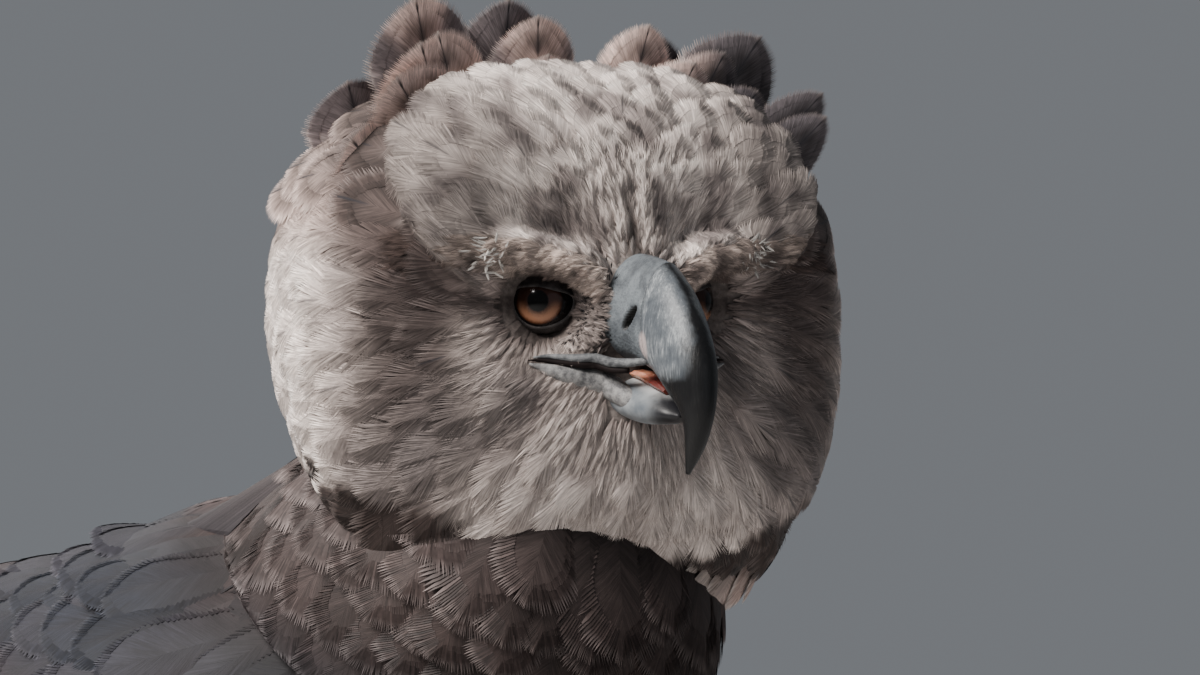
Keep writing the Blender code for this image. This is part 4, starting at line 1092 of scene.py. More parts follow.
def closed_grid(rows, name, finish=None):
    """A closed body through rings of equally many points."""
    rows = np.asarray(rows)
    count, sides = rows.shape[:2]
    points = np.concatenate((rows.reshape(-1, 3), rows[:1].mean(1), rows[-1:].mean(1)))
    faces = []
    j = np.arange(sides)
    k = (j + 1) % sides
    for i in range(count - 1):
        a, b = i * sides, (i + 1) * sides
        faces.append(np.stack((a + j, a + k, b + k), -1))
        faces.append(np.stack((a + j, b + k, b + j), -1))
    first, last = count * sides, count * sides + 1
    faces.append(np.stack((np.full(sides, first), k, j), -1))
    a = (count - 1) * sides
    faces.append(np.stack((np.full(sides, last), a + j, a + k), -1))
    return mesh_object(name, points, np.concatenate(faces), finish)


def skin_wing(side):
    """The core of a folded wing, under its feathers."""
    rows = []
    for t in (0, 0.03, 0.09, 0.17, 0.26, 0.36, 0.48, 0.60):
        top = math.radians(np.interp(t, np.linspace(0, 1, 7), WING_TOP))
        low = math.radians(np.interp(t, np.linspace(0, 1, 7), WING_BOTTOM))
        reach = np.linspace(0, 1, 14)
        thick = np.interp(t, *zip(*WING_CORE)) * MM * (0.5 + 0.5 * np.sin(math.pi * reach) ** 0.6)
        thick = thick * np.interp(t, (0, 0.12), (0.35, 1))
        spots = side * (top + (low - top) * reach)
        share = np.full(14, t)
        inner = wing_surface(share, spots, -6 * MM)
        outer = wing_surface(share, spots, thick - 5.5 * MM)
        rows.append(np.concatenate((inner, outer[::-1])))
    return closed_grid(rows, "skin_wing")


def skin_parts():
    depth = -COAT_DEPTH * MM
    grid = ring_angles(72)
    parts = []
    ahead = np.radians(np.concatenate(([1.0], np.linspace(5, 175, 100), [179.0])))
    ahead, turn = np.meshgrid(ahead, np.linspace(0, 2 * math.pi, 160, endpoint=False), indexing="ij")
    direction = head_direction(np.degrees(ahead), np.degrees(turn))
    radius = head_radius(direction.reshape(-1, 3)).reshape(ahead.shape)
    parts.append(closed_grid(BALL + direction * (radius + depth)[..., None], "skin_head"))
    share, angle = np.meshgrid(np.linspace(0, 1, 60), grid, indexing="ij")
    parts.append(closed_grid(trunk_surface(share * TRUNK_SHOWN, -angle, depth), "skin_trunk"))
    parts.append(closed_grid(collar_surface(share, -angle, depth), "skin_collar"))
    for side in (1, -1):
        share, angle = np.meshgrid(np.linspace(0, 1, 40), grid, indexing="ij")
        parts.append(closed_grid(thigh_surface(side)(share, angle, -2.5 * MM), "skin_thigh"))
        parts.append(skin_wing(side))
    rows = []
    for share, half, thick in TAIL_CORE:
        centre = TAIL_START + TAIL_ALONG * (TAIL_LENGTH * (share - (0.06 if share < 0 else 0)))
        ring = centre + np.stack((np.sin(grid) * (half - 2) * MM, 0 * grid, 0 * grid), -1)
        rows.append(ring + TAIL_UP * (np.cos(grid) * (thick - 3) / 2 * MM)[:, None])
    parts.append(closed_grid(rows, "skin_tail"))
    return parts


def join(objects, name):
    for other in bpy.context.selected_objects:
        other.select_set(False)
    for made in objects:
        made.select_set(True)
    bpy.context.view_layer.objects.active = objects[0]
    bpy.ops.object.join()
    objects[0].name = name
    objects[0].data.name = name
    return objects[0]


def apply_modifiers(target):
    bpy.context.view_layer.update()
    evaluated = target.evaluated_get(bpy.context.evaluated_depsgraph_get())
    mesh = bpy.data.meshes.new_from_object(evaluated)
    target.modifiers.clear()
    target.data = mesh


def mesh_points(mesh):
    points = np.zeros(len(mesh.vertices) * 3, np.float32)
    mesh.vertices.foreach_get("co", points)
    return points.reshape(-1, 3).astype(float)


def move_points(mesh, points):
    mesh.vertices.foreach_set("co", points.astype(np.float32).ravel())
    mesh.update()


EYE_AT = {side: from_eyes(EYE_PLACE[0], side * EYE_PLACE[1], EYE_PLACE[2]) for side in (1, -1)}
EYE_AXIS = {side: FORWARD * math.cos(EYE_LOOK) + RIGHT * (side * math.sin(EYE_LOOK)) for side in (1, -1)}


SKIN_VOXEL = 0.0025
SOCKET_EDGE = 0.45  # cosine from the eye's axis to the rim of its socket
# Where the skin counts as head, thigh or tail, in metres
HEAD_REACH = 0.112
THIGH_TOP, THIGH_BACK = 0.335, -0.03
TAIL_FROM = 0.012


def build_skin(finish):
    """One skin under all the feathers, pressed in behind the eyes and painted as the plumage over it."""
    skin = join(skin_parts(), "skin")
    remesh = skin.modifiers.new("one", "REMESH")
    remesh.mode = "VOXEL"
    remesh.voxel_size = SKIN_VOXEL
    apply_modifiers(skin)
    soften = skin.modifiers.new("soft", "SMOOTH")
    soften.factor = 0.5
    soften.iterations = 4
    apply_modifiers(skin)
    points = mesh_points(skin.data)
    for side in (1, -1):
        rel = points - EYE_AT[side]
        away = np.linalg.norm(rel, axis=1)
        facing = (rel @ EYE_AXIS[side]) / np.maximum(away, 1e-9)
        sunk = (facing > SOCKET_EDGE) & (away < 24 * MM) & (away > 6 * MM)
        inner = (EYE_RADIUS - 2.2) * MM
        share = ease(facing, SOCKET_EDGE, 0.62) * sunk
        points += rel / away[:, None] * ((inner - away) * share)[:, None]
    mesh = skin.data
    mesh.shade_smooth()
    mesh.materials.append(finish)
    move_points(mesh, points)
    on_head = np.linalg.norm(points - BALL, axis=1) < HEAD_REACH
    on_tail = ((points - TAIL_START) @ TAIL_ALONG) > TAIL_FROM
    on_thigh = (points[:, 2] < THIGH_TOP) & (points[:, 1] < THIGH_BACK) & ~on_tail
    colour = body_ground(points)
    colour[on_head] = head_ground(points[on_head])
    colour[on_thigh] = thigh_ground(points[on_thigh])
    colour[on_tail] = SOOT
    paint_mesh(mesh, colour * 0.6)
    skin_map(mesh, points, on_head, on_thigh, on_tail)
    return skin


def skin_map(mesh, points, on_head, on_thigh, on_tail):
    """The bake map of the skin: each face lies whole in one chart, by the chart of its first point."""
    index = np.zeros(len(mesh.loops), np.int32)
    mesh.loops.foreach_get("vertex_index", index)
    start = np.zeros(len(mesh.polygons), np.int32)
    mesh.polygons.foreach_get("loop_start", start)
    lead = index[start][np.searchsorted(start, np.arange(len(index)), side="right") - 1]
    uv = np.zeros((len(index), 2))
    for mask, chart in (
        (on_head, chart_head),
        (on_thigh & ~on_head, chart_thigh),
        (on_tail & ~on_head, chart_tail),
        (~(on_head | on_thigh | on_tail), chart_trunk),
    ):
        pick = mask[lead]
        spots, base = chart(points[index[pick]]), chart(points[lead[pick]])
        far = np.linalg.norm(spots - base, axis=1) > 0.05
        spots[far] = base[far]
        uv[pick] = spots
    layer = mesh.uv_layers.new(name="OFBake")
    layer.data.foreach_set("uv", uv.astype(np.float32).ravel())


# Feathers of the head

# where they all part, behind the bill
BILL_ROOT = unit(from_eyes(20, 0, -6) - BALL)


def head_flow(direction):
    """Which way the feathers of the head lie: away from the bill, round the eyes, and sagging a little."""
    away = unit(direction - BILL_ROOT)
    radius = head_radius(direction)
    points = BALL + direction * radius[:, None]
    heading = away.copy()
    for side in (1, -1):
        rel = points - (EYE_AT[side] + EYE_AXIS[side] * 0.010)
        near = np.exp(-((np.linalg.norm(rel, axis=1) / (17 * MM)) ** 2))
        heading = heading + unit(rel) * (1.6 * near)[:, None]
    heading = heading - UP * (0.22 * ease(direction @ FORWARD, 0.9, 0.2))[:, None]
    return unit(heading)


def clear_of_face(direction, margin=0.0):
    """False where the eyes, the bill or the mouth are."""
    points = head_surface(direction, 0 * direction[:, 0])
    keep = np.ones(len(direction), bool)
    for side in (1, -1):
        rel = points - EYE_AT[side]
        away = np.linalg.norm(rel, axis=1)
        facing = (rel @ EYE_AXIS[side]) / away
        keep &= (facing < math.cos(math.radians(62 + margin))) | (away > 19 * MM)
    f, r, u = head_parts(points)
    f, u = f - EYES_FROM_BALL[0], u - EYES_FROM_BALL[2]
    half = 13.4 * np.sqrt(np.clip(1 - ((u + 2.4) / 17.2) ** 2, 0, 1))
    half = np.where(u < -14, 11.2, half) * (u > -38)
    bill = (np.abs(r) < half + 0.6 + margin) & (f > 5)
    line = -20.2 + 0.1 * (np.abs(r) - 11)
    low = line - 1.4 - 3.0 * (1 - ease(np.abs(r), 12, 29))
    mouth = (np.abs(r) < 30) & (u < line + 2.2 + margin) & (u > low - margin) & (f > -7)
    return keep & ~bill & ~mouth


def scatter_head(draw, spacing, keep):
    """Directions spread evenly over the head where keep(ahead, turn) says so."""
    total = int(4 * math.pi * 85**2 / spacing**2)
    i = np.arange(total) + 0.5
    height = 1 - 2 * i / total
    around = i * math.pi * (1 + math.sqrt(5))
    flat = np.sqrt(1 - height**2)
    spots = np.stack((flat * np.cos(around), flat * np.sin(around), height), -1)
    spots = unit(spots + draw.normal(0, 0.35 * spacing / 85, spots.shape))
    chosen = spots[keep(np.degrees(off_ahead(spots)), np.degrees(off_crown(spots)))]
    return chosen[clear_of_face(chosen)]


# The kinds, from the finest hairs of the face to the quills of wing and tail
HAIR = Kind(6, 1, 0.45, (26, 2), 0.28, 0.30, 0.06, 1.7, 0.35, taper=0.25)
BRISTLE = Kind(2, 1, 0.3, (20, 4), 0.16, 0.3, 0.10, 1.4, 0.4, taper=0.1)
PLUME = Kind(12, 1, 0.70, (40, 4), 0.34, 0.22, 0.07, 1.9, 0.5)
SOFT = Kind(24, 0.30, 0.84, (54, 4), 0.42, 0.14, 0.05, 2.2, 0.6, belly=0.6)
RUFF = Kind(34, 0.40, 0.82, (50, 3), 0.44, 0.16, 0.055, 2.2, 0.7, belly=0.6)
FAN = Kind(40, 0.20, 0.88, (62, 4), 0.46, 0.10, 0.045, 2.2, 0.7, belly=0.62)
BROAD = Kind(84, 0.05, 0.95, (66, 4), 0.40, 0.08, 0.02, 1.8, 0.75, curl=0.25, belly=0.64)
VANE = Kind(40, 0.03, 0.96, (50, 5), 0.25, 0.06, 0.02, 2.2, 0.75, curl=0.3, belly=0.78)
QUILL = Kind(60, 0.02, 0.97, (44, 4), 0.12, 0.04, 0.015, 2.3, 0.7, belly=0.86)


def feathers_on_head(coat, draw, kind, direction, length, wide, low, high, jitter, paint=paint_head, **more):
    count = len(direction)
    heading = unit(head_flow(direction) + draw.normal(0, jitter, (count, 3)))
    size = np.exp(draw.normal(0, 0.10, count))
    lie = lie_on_head(direction, heading)
    coat.add(draw, kind, lie, length * size, wide * size, low, high + draw.normal(0, 0.3, count), paint, **more)


def head_rows(draw, rows, pitch, keep):
    """Directions in rings, at these degrees from straight ahead, evenly apart along each ring."""
    found = []
    for k, ahead in enumerate(rows):
        step = math.degrees(pitch / (90 * math.sin(math.radians(ahead))))
        turn = np.arange(-180 + 0.5 * (k % 2) * step, 180, step)
        turn = turn + draw.normal(0, 0.12 * step, len(turn))
        ring = np.full(len(turn), float(ahead)) + draw.normal(0, 0.7, len(turn))
        mask = keep(ring, turn)
        found.append((ring[mask], turn[mask]))
    return [np.concatenate(group) for group in zip(*found)]


# Rows of the forehead: share of the way to its rim, length, height of the tips, and spacing, in mm
FOREHEAD_ROWS = (
    (0.42, 15, 0.6, 6.5), (0.50, 17, 1.0, 7.5), (0.58, 19, 1.4, 8.5),
    (0.66, 21, 1.8, 9.5), (0.74, 22, 2.2, 10.5), (0.81, 22, 3.0, 11),
)
# Rows of throat feathers that hang free: degrees from straight ahead, how freely they hang, and length in mm
HANGING_ROWS = ((57, 0.2, 27), (63, 0.34, 29), (69, 0.48, 31), (75, 0.6, 31))
# Rows along the brow: height over its ledge, length, and height of the tips, in mm
BROW_ROWS = ((3.4, 9.0, 1.4), (1.8, 8.5, 1.8), (0.2, 8.0, 2.0), (-1.6, 7.5, 2.2), (-3.0, 6.5, 2.6))


def coat_face(draw, finish):
    """Hair-like feathers round the bill and over the cheeks."""
    face = Coat("coat_face", chart_head)
    spots = scatter_head(draw, 1.9, lambda a, t: (a < 56) & (np.abs(t) > 62))
    ahead = np.degrees(np.arccos(spots @ FORWARD))
    length = 5.5 + 9.0 * ease(ahead, 18, 46)
    feathers_on_head(face, draw, HAIR, spots, length, length * 0.22, ROOTS + 0.5, -0.9, jitter=0.10)
    face.finish(finish, "head_feathers")


def coat_forehead(draw, finish):
    """Tufts over the bill, then rows of longer and longer feathers up to the forehead's rim."""
    cap = Coat("coat_forehead", chart_head)
    spots = scatter_head(draw, 2.8, lambda a, t: (a < 0.52 * (a - past_cap(a, t))) & (np.abs(t) <= 74))
    ahead = np.degrees(np.arccos(spots @ FORWARD))
    length = 7.0 + 8.0 * ease(ahead, 16, 40)
    feathers_on_head(cap, draw, PLUME, spots, length, length * 0.28, ROOTS + 0.5, 0.2, jitter=0.2)
    for share, long, rise, pitch in FOREHEAD_ROWS:
        turn = np.arange(-80, 80, math.degrees(pitch / (74 * math.sin(math.radians(share * 82)))))
        turn = turn + draw.normal(0, 1.2, len(turn))
        spots = head_direction(share * np.interp(np.abs(turn), *CAP_EDGE) + draw.normal(0, 1.2, len(turn)), turn)
        spots = spots[clear_of_face(spots)]
        feathers_on_head(cap, draw, FAN, spots, long, long * 0.46, ROOTS, rise, jitter=0.11)
    cap.finish(finish, "head_feathers")


def coat_ruff(draw, finish):
    """The ruff of each side, ring behind ring, out to its standing rim."""
    for side, name in SIDES:
        ruff = Coat("coat_ruff_" + name, chart_head)
        rings, turn = head_rows(
            draw, np.arange(46, 114, 5.2), 9.9,
            lambda a, t: (t * side > 0) & (np.abs(t) < 158) & ((past_cap(a, t) > 0) | (np.abs(t) > 78)),
        )
        spots = head_direction(rings, turn)
        clear = clear_of_face(spots)
        spots, rings = spots[clear], rings[clear]
        length = 20 + 14 * ease(rings, 46, 74)
        rise = 0.2 + 2.6 * ease(rings, 76, 100)
        feathers_on_head(ruff, draw, RUFF, spots, length, length * 0.42, ROOTS + 0.5, rise, jitter=0.07)
        ruff.finish(finish, "head_feathers")


def coat_throat(draw, finish):
    """The throat's feathers; the lowest of them hang free, over the dark collar."""
    bib = Coat("coat_throat", chart_head)
    for k, ahead in enumerate((40, 47, 54, 61, 68, 75)):
        pitch = math.degrees(10.5 / (88 * math.sin(math.radians(ahead))))
        turn = np.arange(126 + 0.5 * (k % 2) * pitch, 234, pitch)
        turn = turn + draw.normal(0, 0.1 * pitch, len(turn))
        spots = head_direction(ahead + draw.normal(0, 1.2, len(turn)), turn)
        spots = spots[clear_of_face(spots, 1.0)]
        count = len(spots)
        hang = ease(ahead, 48, 80)
        heading = unit(head_flow(spots) * (1 - 0.5 * hang) - UP * 0.6 * hang + draw.normal(0, 0.10, (count, 3)))
        size = np.exp(draw.normal(0, 0.12, count))
        long = 17 + 15 * ease(ahead, 40, 70)
        rise = 0.8 + 3.6 * ease(ahead, 50, 82) + draw.normal(0, 0.6, count)
        bib.add(draw, RUFF, lie_on_head(spots, heading), long * size, long * 0.44 * size, ROOTS, rise, paint_head)
    for k, (ahead, free, long) in enumerate(HANGING_ROWS):
        turn = np.arange(135 + 3 * (k % 2), 226, 6.0)
        turn = turn + draw.normal(0, 0.8, len(turn))
        spots = head_direction(ahead + 14 * ease(np.abs(turn - 180), 22, 56) + draw.normal(0, 1.0, len(turn)), turn)
        count = len(spots)
        flow = head_flow(spots)
        flow = unit(flow - spots * np.sum(flow * spots, -1, keepdims=True))
        along = unit(flow * (1 - free) - UP * free + draw.normal(0, 0.07, (count, 3)))
        beside = unit(np.cross(spots, along))
        over = np.cross(along, beside)
        size = np.exp(draw.normal(0, 0.10, count))
        lie = lie_flat(head_surface(spots, np.full(count, -4.5 * MM)), along, beside, over, -3.0)
        bib.add(draw, FAN, lie, long * size, long * 0.45 * size, 0, 2, paint_bib)
    bib.finish(finish, "head_feathers")


def coat_crown(draw, finish):
    """Broad scalloped feathers in rows behind the forehead's rim, each row standing over the last."""
    crown = Coat("coat_crown", chart_head)
    for k, past in enumerate((-6, 3, 12, 21, 30)):
        turn = np.arange(6 + 8 * (k % 2), 76 - 4 * k, 15.5)
        turn = np.concatenate((turn, -turn)) + draw.normal(0, 1.5, 2 * len(turn))
        spots = head_direction(np.interp(np.abs(turn), *CAP_EDGE) + past + draw.normal(0, 1.0, len(turn)), turn)
        feathers_on_head(
            crown, draw, FAN, spots, 35.0, 16.0, ROOTS, 1.5 + 2.2 * k, 0.06, paint_scallop, cup=0.16, rise=1.3
        )
    crown.finish(finish, "head_feathers")


def coat_nape(draw, finish):
    nape = Coat("coat_nape", chart_head)
    rings, turn = head_rows(draw, np.arange(110, 172, 8), 14, lambda a, t: np.abs(t) < 181)
    feathers_on_head(nape, draw, SOFT, head_direction(rings, turn), 27.0, 11.0, ROOTS + 0.6, 0.6, jitter=0.07)
    nape.finish(finish, "head_feathers")


def head_spots(places, side):
    """Directions from the ball to places given in mm forward, to one side, and up."""
    return unit(places[:, :1] * FORWARD + places[:, 1:2] * side * RIGHT + places[:, 2:] * UP)


def brow_ledge(brows, draw, side):
    """Short feathers in rows along the ledge, swept back and down over the eye."""
    line = smooth_rows(BROW, 46)
    for lift, long, rise in BROW_ROWS:
        at = from_eyes(line[:, 0], side * line[:, 1], line[:, 2] + lift) - BALL
        spots = unit(at + draw.normal(0, 0.6 * MM, at.shape))
        back = unit(at[-1] - at[0])
        heading = unit(back + EYE_AXIS[side] * 0.5 - UP * 0.42 + draw.normal(0, 0.16, at.shape))
        length = long * np.exp(draw.normal(0, 0.15, len(spots)))
        brows.add(draw, PLUME, lie_on_head(spots, heading), length, long * 0.26, -2.0, rise, paint_brow)


def eye_ring(brows, draw, side):
    """Tiny feathers that stand away from the lids, all but over the eye."""
    ring = np.tile(np.linspace(0, 2 * math.pi, 46, endpoint=False), 4)
    polar = np.repeat((57, 62, 68, 75), 46) + 9 * np.clip(np.cos(ring), 0, 1)
    polar = np.radians(polar + draw.normal(0, 1.5, len(ring)))
    front = square_to(FORWARD, EYE_AXIS[side])
    around = np.outer(np.cos(ring), front) + np.outer(np.sin(ring), UP)
    out = np.cos(polar)[:, None] * EYE_AXIS[side] + np.sin(polar)[:, None] * around
    low = np.sin(ring) < 0.5
    spots = unit(EYE_AT[side] + out * 14.5 * MM - BALL)[low]
    heading = unit(around[low] + draw.normal(0, 0.15, spots.shape))
    long = draw.uniform(4.5, 7.5, len(spots))
    brows.add(draw, HAIR, lie_on_head(spots, heading), long, long * 0.26, -3.4, 0.1, paint_orbit)


def white_tuft(brows, draw, side):
    """A few short white hairs behind the brow."""
    count = 34
    spots = head_spots(np.array((39, 41, 15.5))[None] + draw.normal(0, 2.0, (count, 3)), side)
    heading = unit(RIGHT * side * 0.6 - UP * 0.5 + draw.normal(0, 0.7, (count, 3)))
    brows.add(draw, HAIR, lie_on_head(spots, heading), np.full(count, 4.4), 0.5, -0.5, 2.6, paint_white)


def dark_bristles(brows, draw, side):
    """Short bristles on the bare skin between eye and bill."""
    count = 390
    places = (draw.uniform(45, 66, count), draw.uniform(11, 27, count), draw.uniform(-14, 14, count))
    spots = head_spots(np.column_stack(places), side)
    spots = spots[clear_of_face(spots, -2.0)]
    heading = unit(head_flow(spots) + UP * 0.4 + draw.normal(0, 0.35, spots.shape))
    long = draw.uniform(3.0, 5.5, len(spots))
    brows.add(draw, BRISTLE, lie_on_head(spots, heading), long, 0.5, -3.5, 0.2, paint_bristle)


def build_brows(finish):
    draw = np.random.default_rng(11)
    brows = Coat("coat_brows", chart_head)
    for side, _ in SIDES:
        for part in (brow_ledge, eye_ring, white_tuft, dark_bristles):
            part(brows, draw, side)
    brows.finish(finish, "head_feathers")


def build_head_coats(finish):
    draw = np.random.default_rng(7)
    for coat in (coat_face, coat_forehead, coat_ruff, coat_throat, coat_crown, coat_nape):
        coat(draw, finish)
    build_brows(finish)


CREST_SUNK = 8  # how far below its drawn root a crest feather starts, in mm


def build_crest(finish):
    """The standing crest: single broad feathers, each with its own root, tip and width."""
    draw = np.random.default_rng(21)
    crest = Coat("crest", chart_head)
    rows = CREST + CREST_FRONT
    root = np.array([from_eyes(forward, *start) for forward, start, _, _ in rows])
    tip = np.array([from_eyes(forward, *end) for forward, _, end, _ in rows])
    wide = np.array([width / 2 for *_, width in rows])
    along = unit(tip - root)
    beside = unit(np.cross(along, FORWARD))
    over = np.broadcast_to(FORWARD, along.shape)
    length = np.linalg.norm(tip - root, axis=1) / MM
    root = root - along * CREST_SUNK * MM
    crest.add(
        draw, BROAD, lie_flat(root, along, beside, over, 3.0), length + CREST_SUNK, wide * 1.12, 0, 0, paint_crest,
        cup=0.30, roll=0.05,
    )
    crest.finish(finish, "head_feathers")


# Feathers of neck, trunk, wings, tail and thighs


def rows_on(surface, coat, draw, kind, shares, angles, pitch, length, wide, low, high, paint, **more):
    """Rows of feathers over a surface, between two angles in degrees, tips towards its start."""
    for k, share in enumerate(shares):
        section = surface(np.array([share] * 2), np.radians([90.0, -90.0]))
        radius = np.linalg.norm(section[0] - section[1]) / 2
        step = math.degrees(pitch * MM / radius)
        angle = np.radians(np.arange(angles[0] + 0.5 * (k % 2) * step, angles[1], step))
        count = len(angle)
        angle = angle + draw.normal(0, 0.1, count) * math.radians(step)
        p = share + draw.normal(0, 0.003, count)
        heading = unit(surface(p - 0.01, angle) - surface(p, angle)) + draw.normal(0, 0.07, (count, 3))
        size = np.exp(draw.normal(0, 0.09, count))
        rise = high + draw.normal(0, 0.4, count)
        lie = lie_on_surface(surface, p, angle, unit(heading))
        coat.add(draw, kind, lie, length * size, wide * size, low, rise, paint, **more)


def coat_thigh(draw, finish, side, name):
    """Barred feathers in rings down the thigh, under a few long ones that hang over its top."""
    thigh = Coat("coat_thigh_" + name, chart_thigh)
    surface = thigh_surface(side)
    for level, turn in ((0.0, 104), (0.3, 110), (0.6, 116)):
        share = np.arange(0.24 + 0.012 * level, 0.60, 0.026)
        count = len(share)
        angle = np.full(count, math.radians(turn) * side) + draw.normal(0, 0.03, count)
        root = trunk_surface(share, angle, -1.5 * MM)
        along = unit(np.array((-0.16 * side, 0.12, -1.0)) + draw.normal(0, 0.05, (count, 3)))
        beside = unit(np.cross(np.array((-1.0 * side, 0, 0)), along))
        over = np.cross(along, beside)
        long = draw.uniform(46, 56, count)
        thigh.add(draw, SOFT, lie_flat(root, along, beside, over), long, long * 0.30, 0.0, 1.5, paint_thigh, cup=0.2)
    for k, share in enumerate(np.arange(0.04, 0.93, 0.066)):
        here = surface(np.array([share] * 2), np.array([0.0, math.pi / 2]))
        radius = np.linalg.norm(here[0] - here[1]) / math.sqrt(2)
        step = 16.5 * MM / radius
        angle = np.arange(0.5 * (k % 2) * step, 2 * math.pi, step)
        count = len(angle)
        p = np.full(count, share) + draw.normal(0, 0.004, count)
        heading = np.tile((0.0, 0.15, -1.0), (count, 1)) + draw.normal(0, 0.05, (count, 3))
        length = np.full(count, 32 - 12 * share)
        thigh.add(draw, SOFT, lie_on_surface(surface, p, angle, heading), length, length * 0.44, -2, 1.2, paint_thigh)
    thigh.finish(finish, "belly_feathers")


COLLAR_BEND = {"cup": 0.14, "rise": 1.3}
NECK_BEND = {"cup": 0.14, "rise": 1.2}
# Coats of neck and trunk: name, slot, and runs of rows, each with its surface, kind, shares of the length from, to
# and step, angles from the back, spacing, length, half width, height of root and tip in mm, paint and bend
BODY_COATS = (
    ("coat_collar", "slate_feathers", (
        (collar_surface, FAN, (0.62, 0.05, -0.095), (-180, 180), 15, 35, 16, -3.5, 3.6, paint_collar, COLLAR_BEND),
    )),
    ("coat_neck", "slate_feathers", (
        (trunk_surface, FAN, (0.70, 0.65, -0.028), (-180, 180), 16, 38, 17, -3.5, 2.6, paint_collar, NECK_BEND),
        (trunk_surface, FAN, (0.644, 0.585, -0.028), (100, 260), 16, 38, 17, -3.5, 2.6, paint_collar, NECK_BEND),
    )),
    ("coat_back", "slate_feathers", (
        (trunk_surface, VANE, (0.60, 0.02, -0.040), (-75, 75), 21, 54, 17, -3, 0.8, paint_body, {}),
    )),
    ("coat_belly", "belly_feathers", (
        (trunk_surface, SOFT, (0.60, 0.02, -0.038), (75, 285), 17, 43, 16.5, -3, 1.0, paint_belly, {}),
    )),
)


def build_body_coats(finish):
    draw = np.random.default_rng(31)
    for name, slot, runs in BODY_COATS:
        coat = Coat(name, chart_trunk)
        for surface, kind, shares, *measures, bend in runs:
            rows_on(surface, coat, draw, kind, np.arange(*shares), *measures, **bend)
        coat.finish(finish, slot)
    for side, name in SIDES:
        coat_thigh(draw, finish, side, name)


# Feather tiers of a wing, from the lowest: how many, root share, tip share of the uppermost and the lowest,
# their angles from the back, height over the trunk at root and tip in mm, and half width in mm
WING_TIERS = (
    (11, 0.48, 1.0, 0.86, 16, 62, -0.6, 2.0, 15),
    (13, 0.36, 0.84, 0.66, 15, 86, 1.8, 4.4, 15),
    (12, 0.25, 0.57, 0.48, 14, 100, 4.0, 6.2, 17),
)
# Rows on the shoulder: share of the trunk's length, feather length, and height of the tips, in mm
SHOULDER_ROWS = (
    (0.70, 44, 1.8), (0.672, 46, 4.0), (0.644, 48, 6.5), (0.616, 50, 8.5),
    (0.588, 52, 10.0), (0.56, 52, 10.8), (0.53, 52, 11),
)
# Small coverts over the tiers: how far down the wing each row is rooted
COVERT_ROWS = np.arange(0.36, 0.0, -0.0395)


def wing_tiers(wing, draw, side):
    """The long feathers of the folded wing, tier over tier, each from its root to its own tip."""
    for count, root, tip_top, tip_low, top, low, under, over, wide in WING_TIERS:
        share = np.linspace(0, 1, count)
        angle = np.radians(top + (low - top) * share + draw.normal(0, 0.8, count))
        tip = tip_top + (tip_low - tip_top) * share + draw.normal(0, 0.008, count)
        start = np.full(count, root) + draw.normal(0, 0.004, count)
        here = wing_surface(start, side * angle, under * MM)
        end_angle = angle + np.radians(6) * share * (tip - root) * 2
        there = wing_surface(tip, side * end_angle, over * MM)
        length = np.linalg.norm(there - here, axis=1) / MM * 1.03
        lie = lie_on_surface(wing_surface, start, side * angle, unit(there - here))
        wing.add(draw, QUILL, lie, length, np.full(count, float(wide)), under, over, paint_body, cup=0.1)


def shoulder_feathers(wing, draw, side):
    """Rows from the neck over the bend of the wing."""
    for share, reach, over in SHOULDER_ROWS:
        pitch = math.degrees(17 * MM / 0.095)
        angle = np.radians(np.arange(8 + pitch * draw.random(), 112, pitch)) * side
        start = share + draw.normal(0, 0.003, len(angle))
        heading = unit(trunk_surface(start - 0.01, angle) - trunk_surface(start, angle))
        lie = lie_on_surface(trunk_surface, start, angle, unit(heading + draw.normal(0, 0.05, heading.shape)))
        size = np.exp(draw.normal(0, 0.08, len(angle)))
        wing.add(draw, VANE, lie, reach * size, 16.5 * size, -3, over, paint_body, cup=0.13, rise=1.25)


def wing_coverts(wing, draw, side):
    """Smaller feathers over the roots of the tiers; towards the shoulder they grow shorter and lie deeper."""
    for k, root in enumerate(COVERT_ROWS):
        near = ease(root, 0.30, 0.0)
        first, last = 5 + 5 * near, 104 + 8 * near
        radius = np.interp(root, np.linspace(0, 1, 7), [g[2] for g in WING_GUIDE]) / MM
        pitch = math.degrees((21 - 3 * near) / radius)
        angle = np.radians(np.arange(first + 0.5 * (k % 2) * pitch, last, pitch))
        angle = angle + draw.normal(0, 0.015, len(angle))
        count = len(angle)
        start = np.maximum(root + draw.normal(0, 0.006, count), 0.003)
        heading = unit(wing_surface(start + 0.02, side * (angle + 0.02)) - wing_surface(start, side * angle))
        heading = heading + draw.normal(0, 0.04, (count, 3))
        size = np.exp(draw.normal(0, 0.08, count))
        lie = lie_on_surface(wing_surface, start, side * angle, unit(heading))
        length, wide = (72 - 20 * near) * size, (18.5 - 2.5 * near) * size
        tips = 9.6 + 0.6 * draw.random(count)
        wing.add(draw, VANE, lie, length, wide, 4.0 - 8.0 * near, tips, paint_body, cup=0.13)


def build_wings(finish):
    for side, name in SIDES:
        draw = np.random.default_rng(41)
        wing = Coat("wing_feathers_" + name, chart_trunk)
        for part in (wing_tiers, shoulder_feathers, wing_coverts):
            part(wing, draw, side)
        wing.finish(finish, "slate_feathers")


def tail_fan(place, degrees, start, width):
    """Roots, directions and sideways directions of feathers fanned across the tail; place runs from -1 to 1."""
    turn = place * math.radians(degrees)
    along = TAIL_ALONG * np.cos(turn)[:, None] + np.stack((np.sin(turn), 0 * turn, 0 * turn), -1)
    beside = np.stack((np.cos(turn), 0 * turn, 0 * turn), -1) - TAIL_ALONG * np.sin(turn)[:, None]
    return start + np.stack((place * width, 0 * place, 0 * place), -1), along, beside


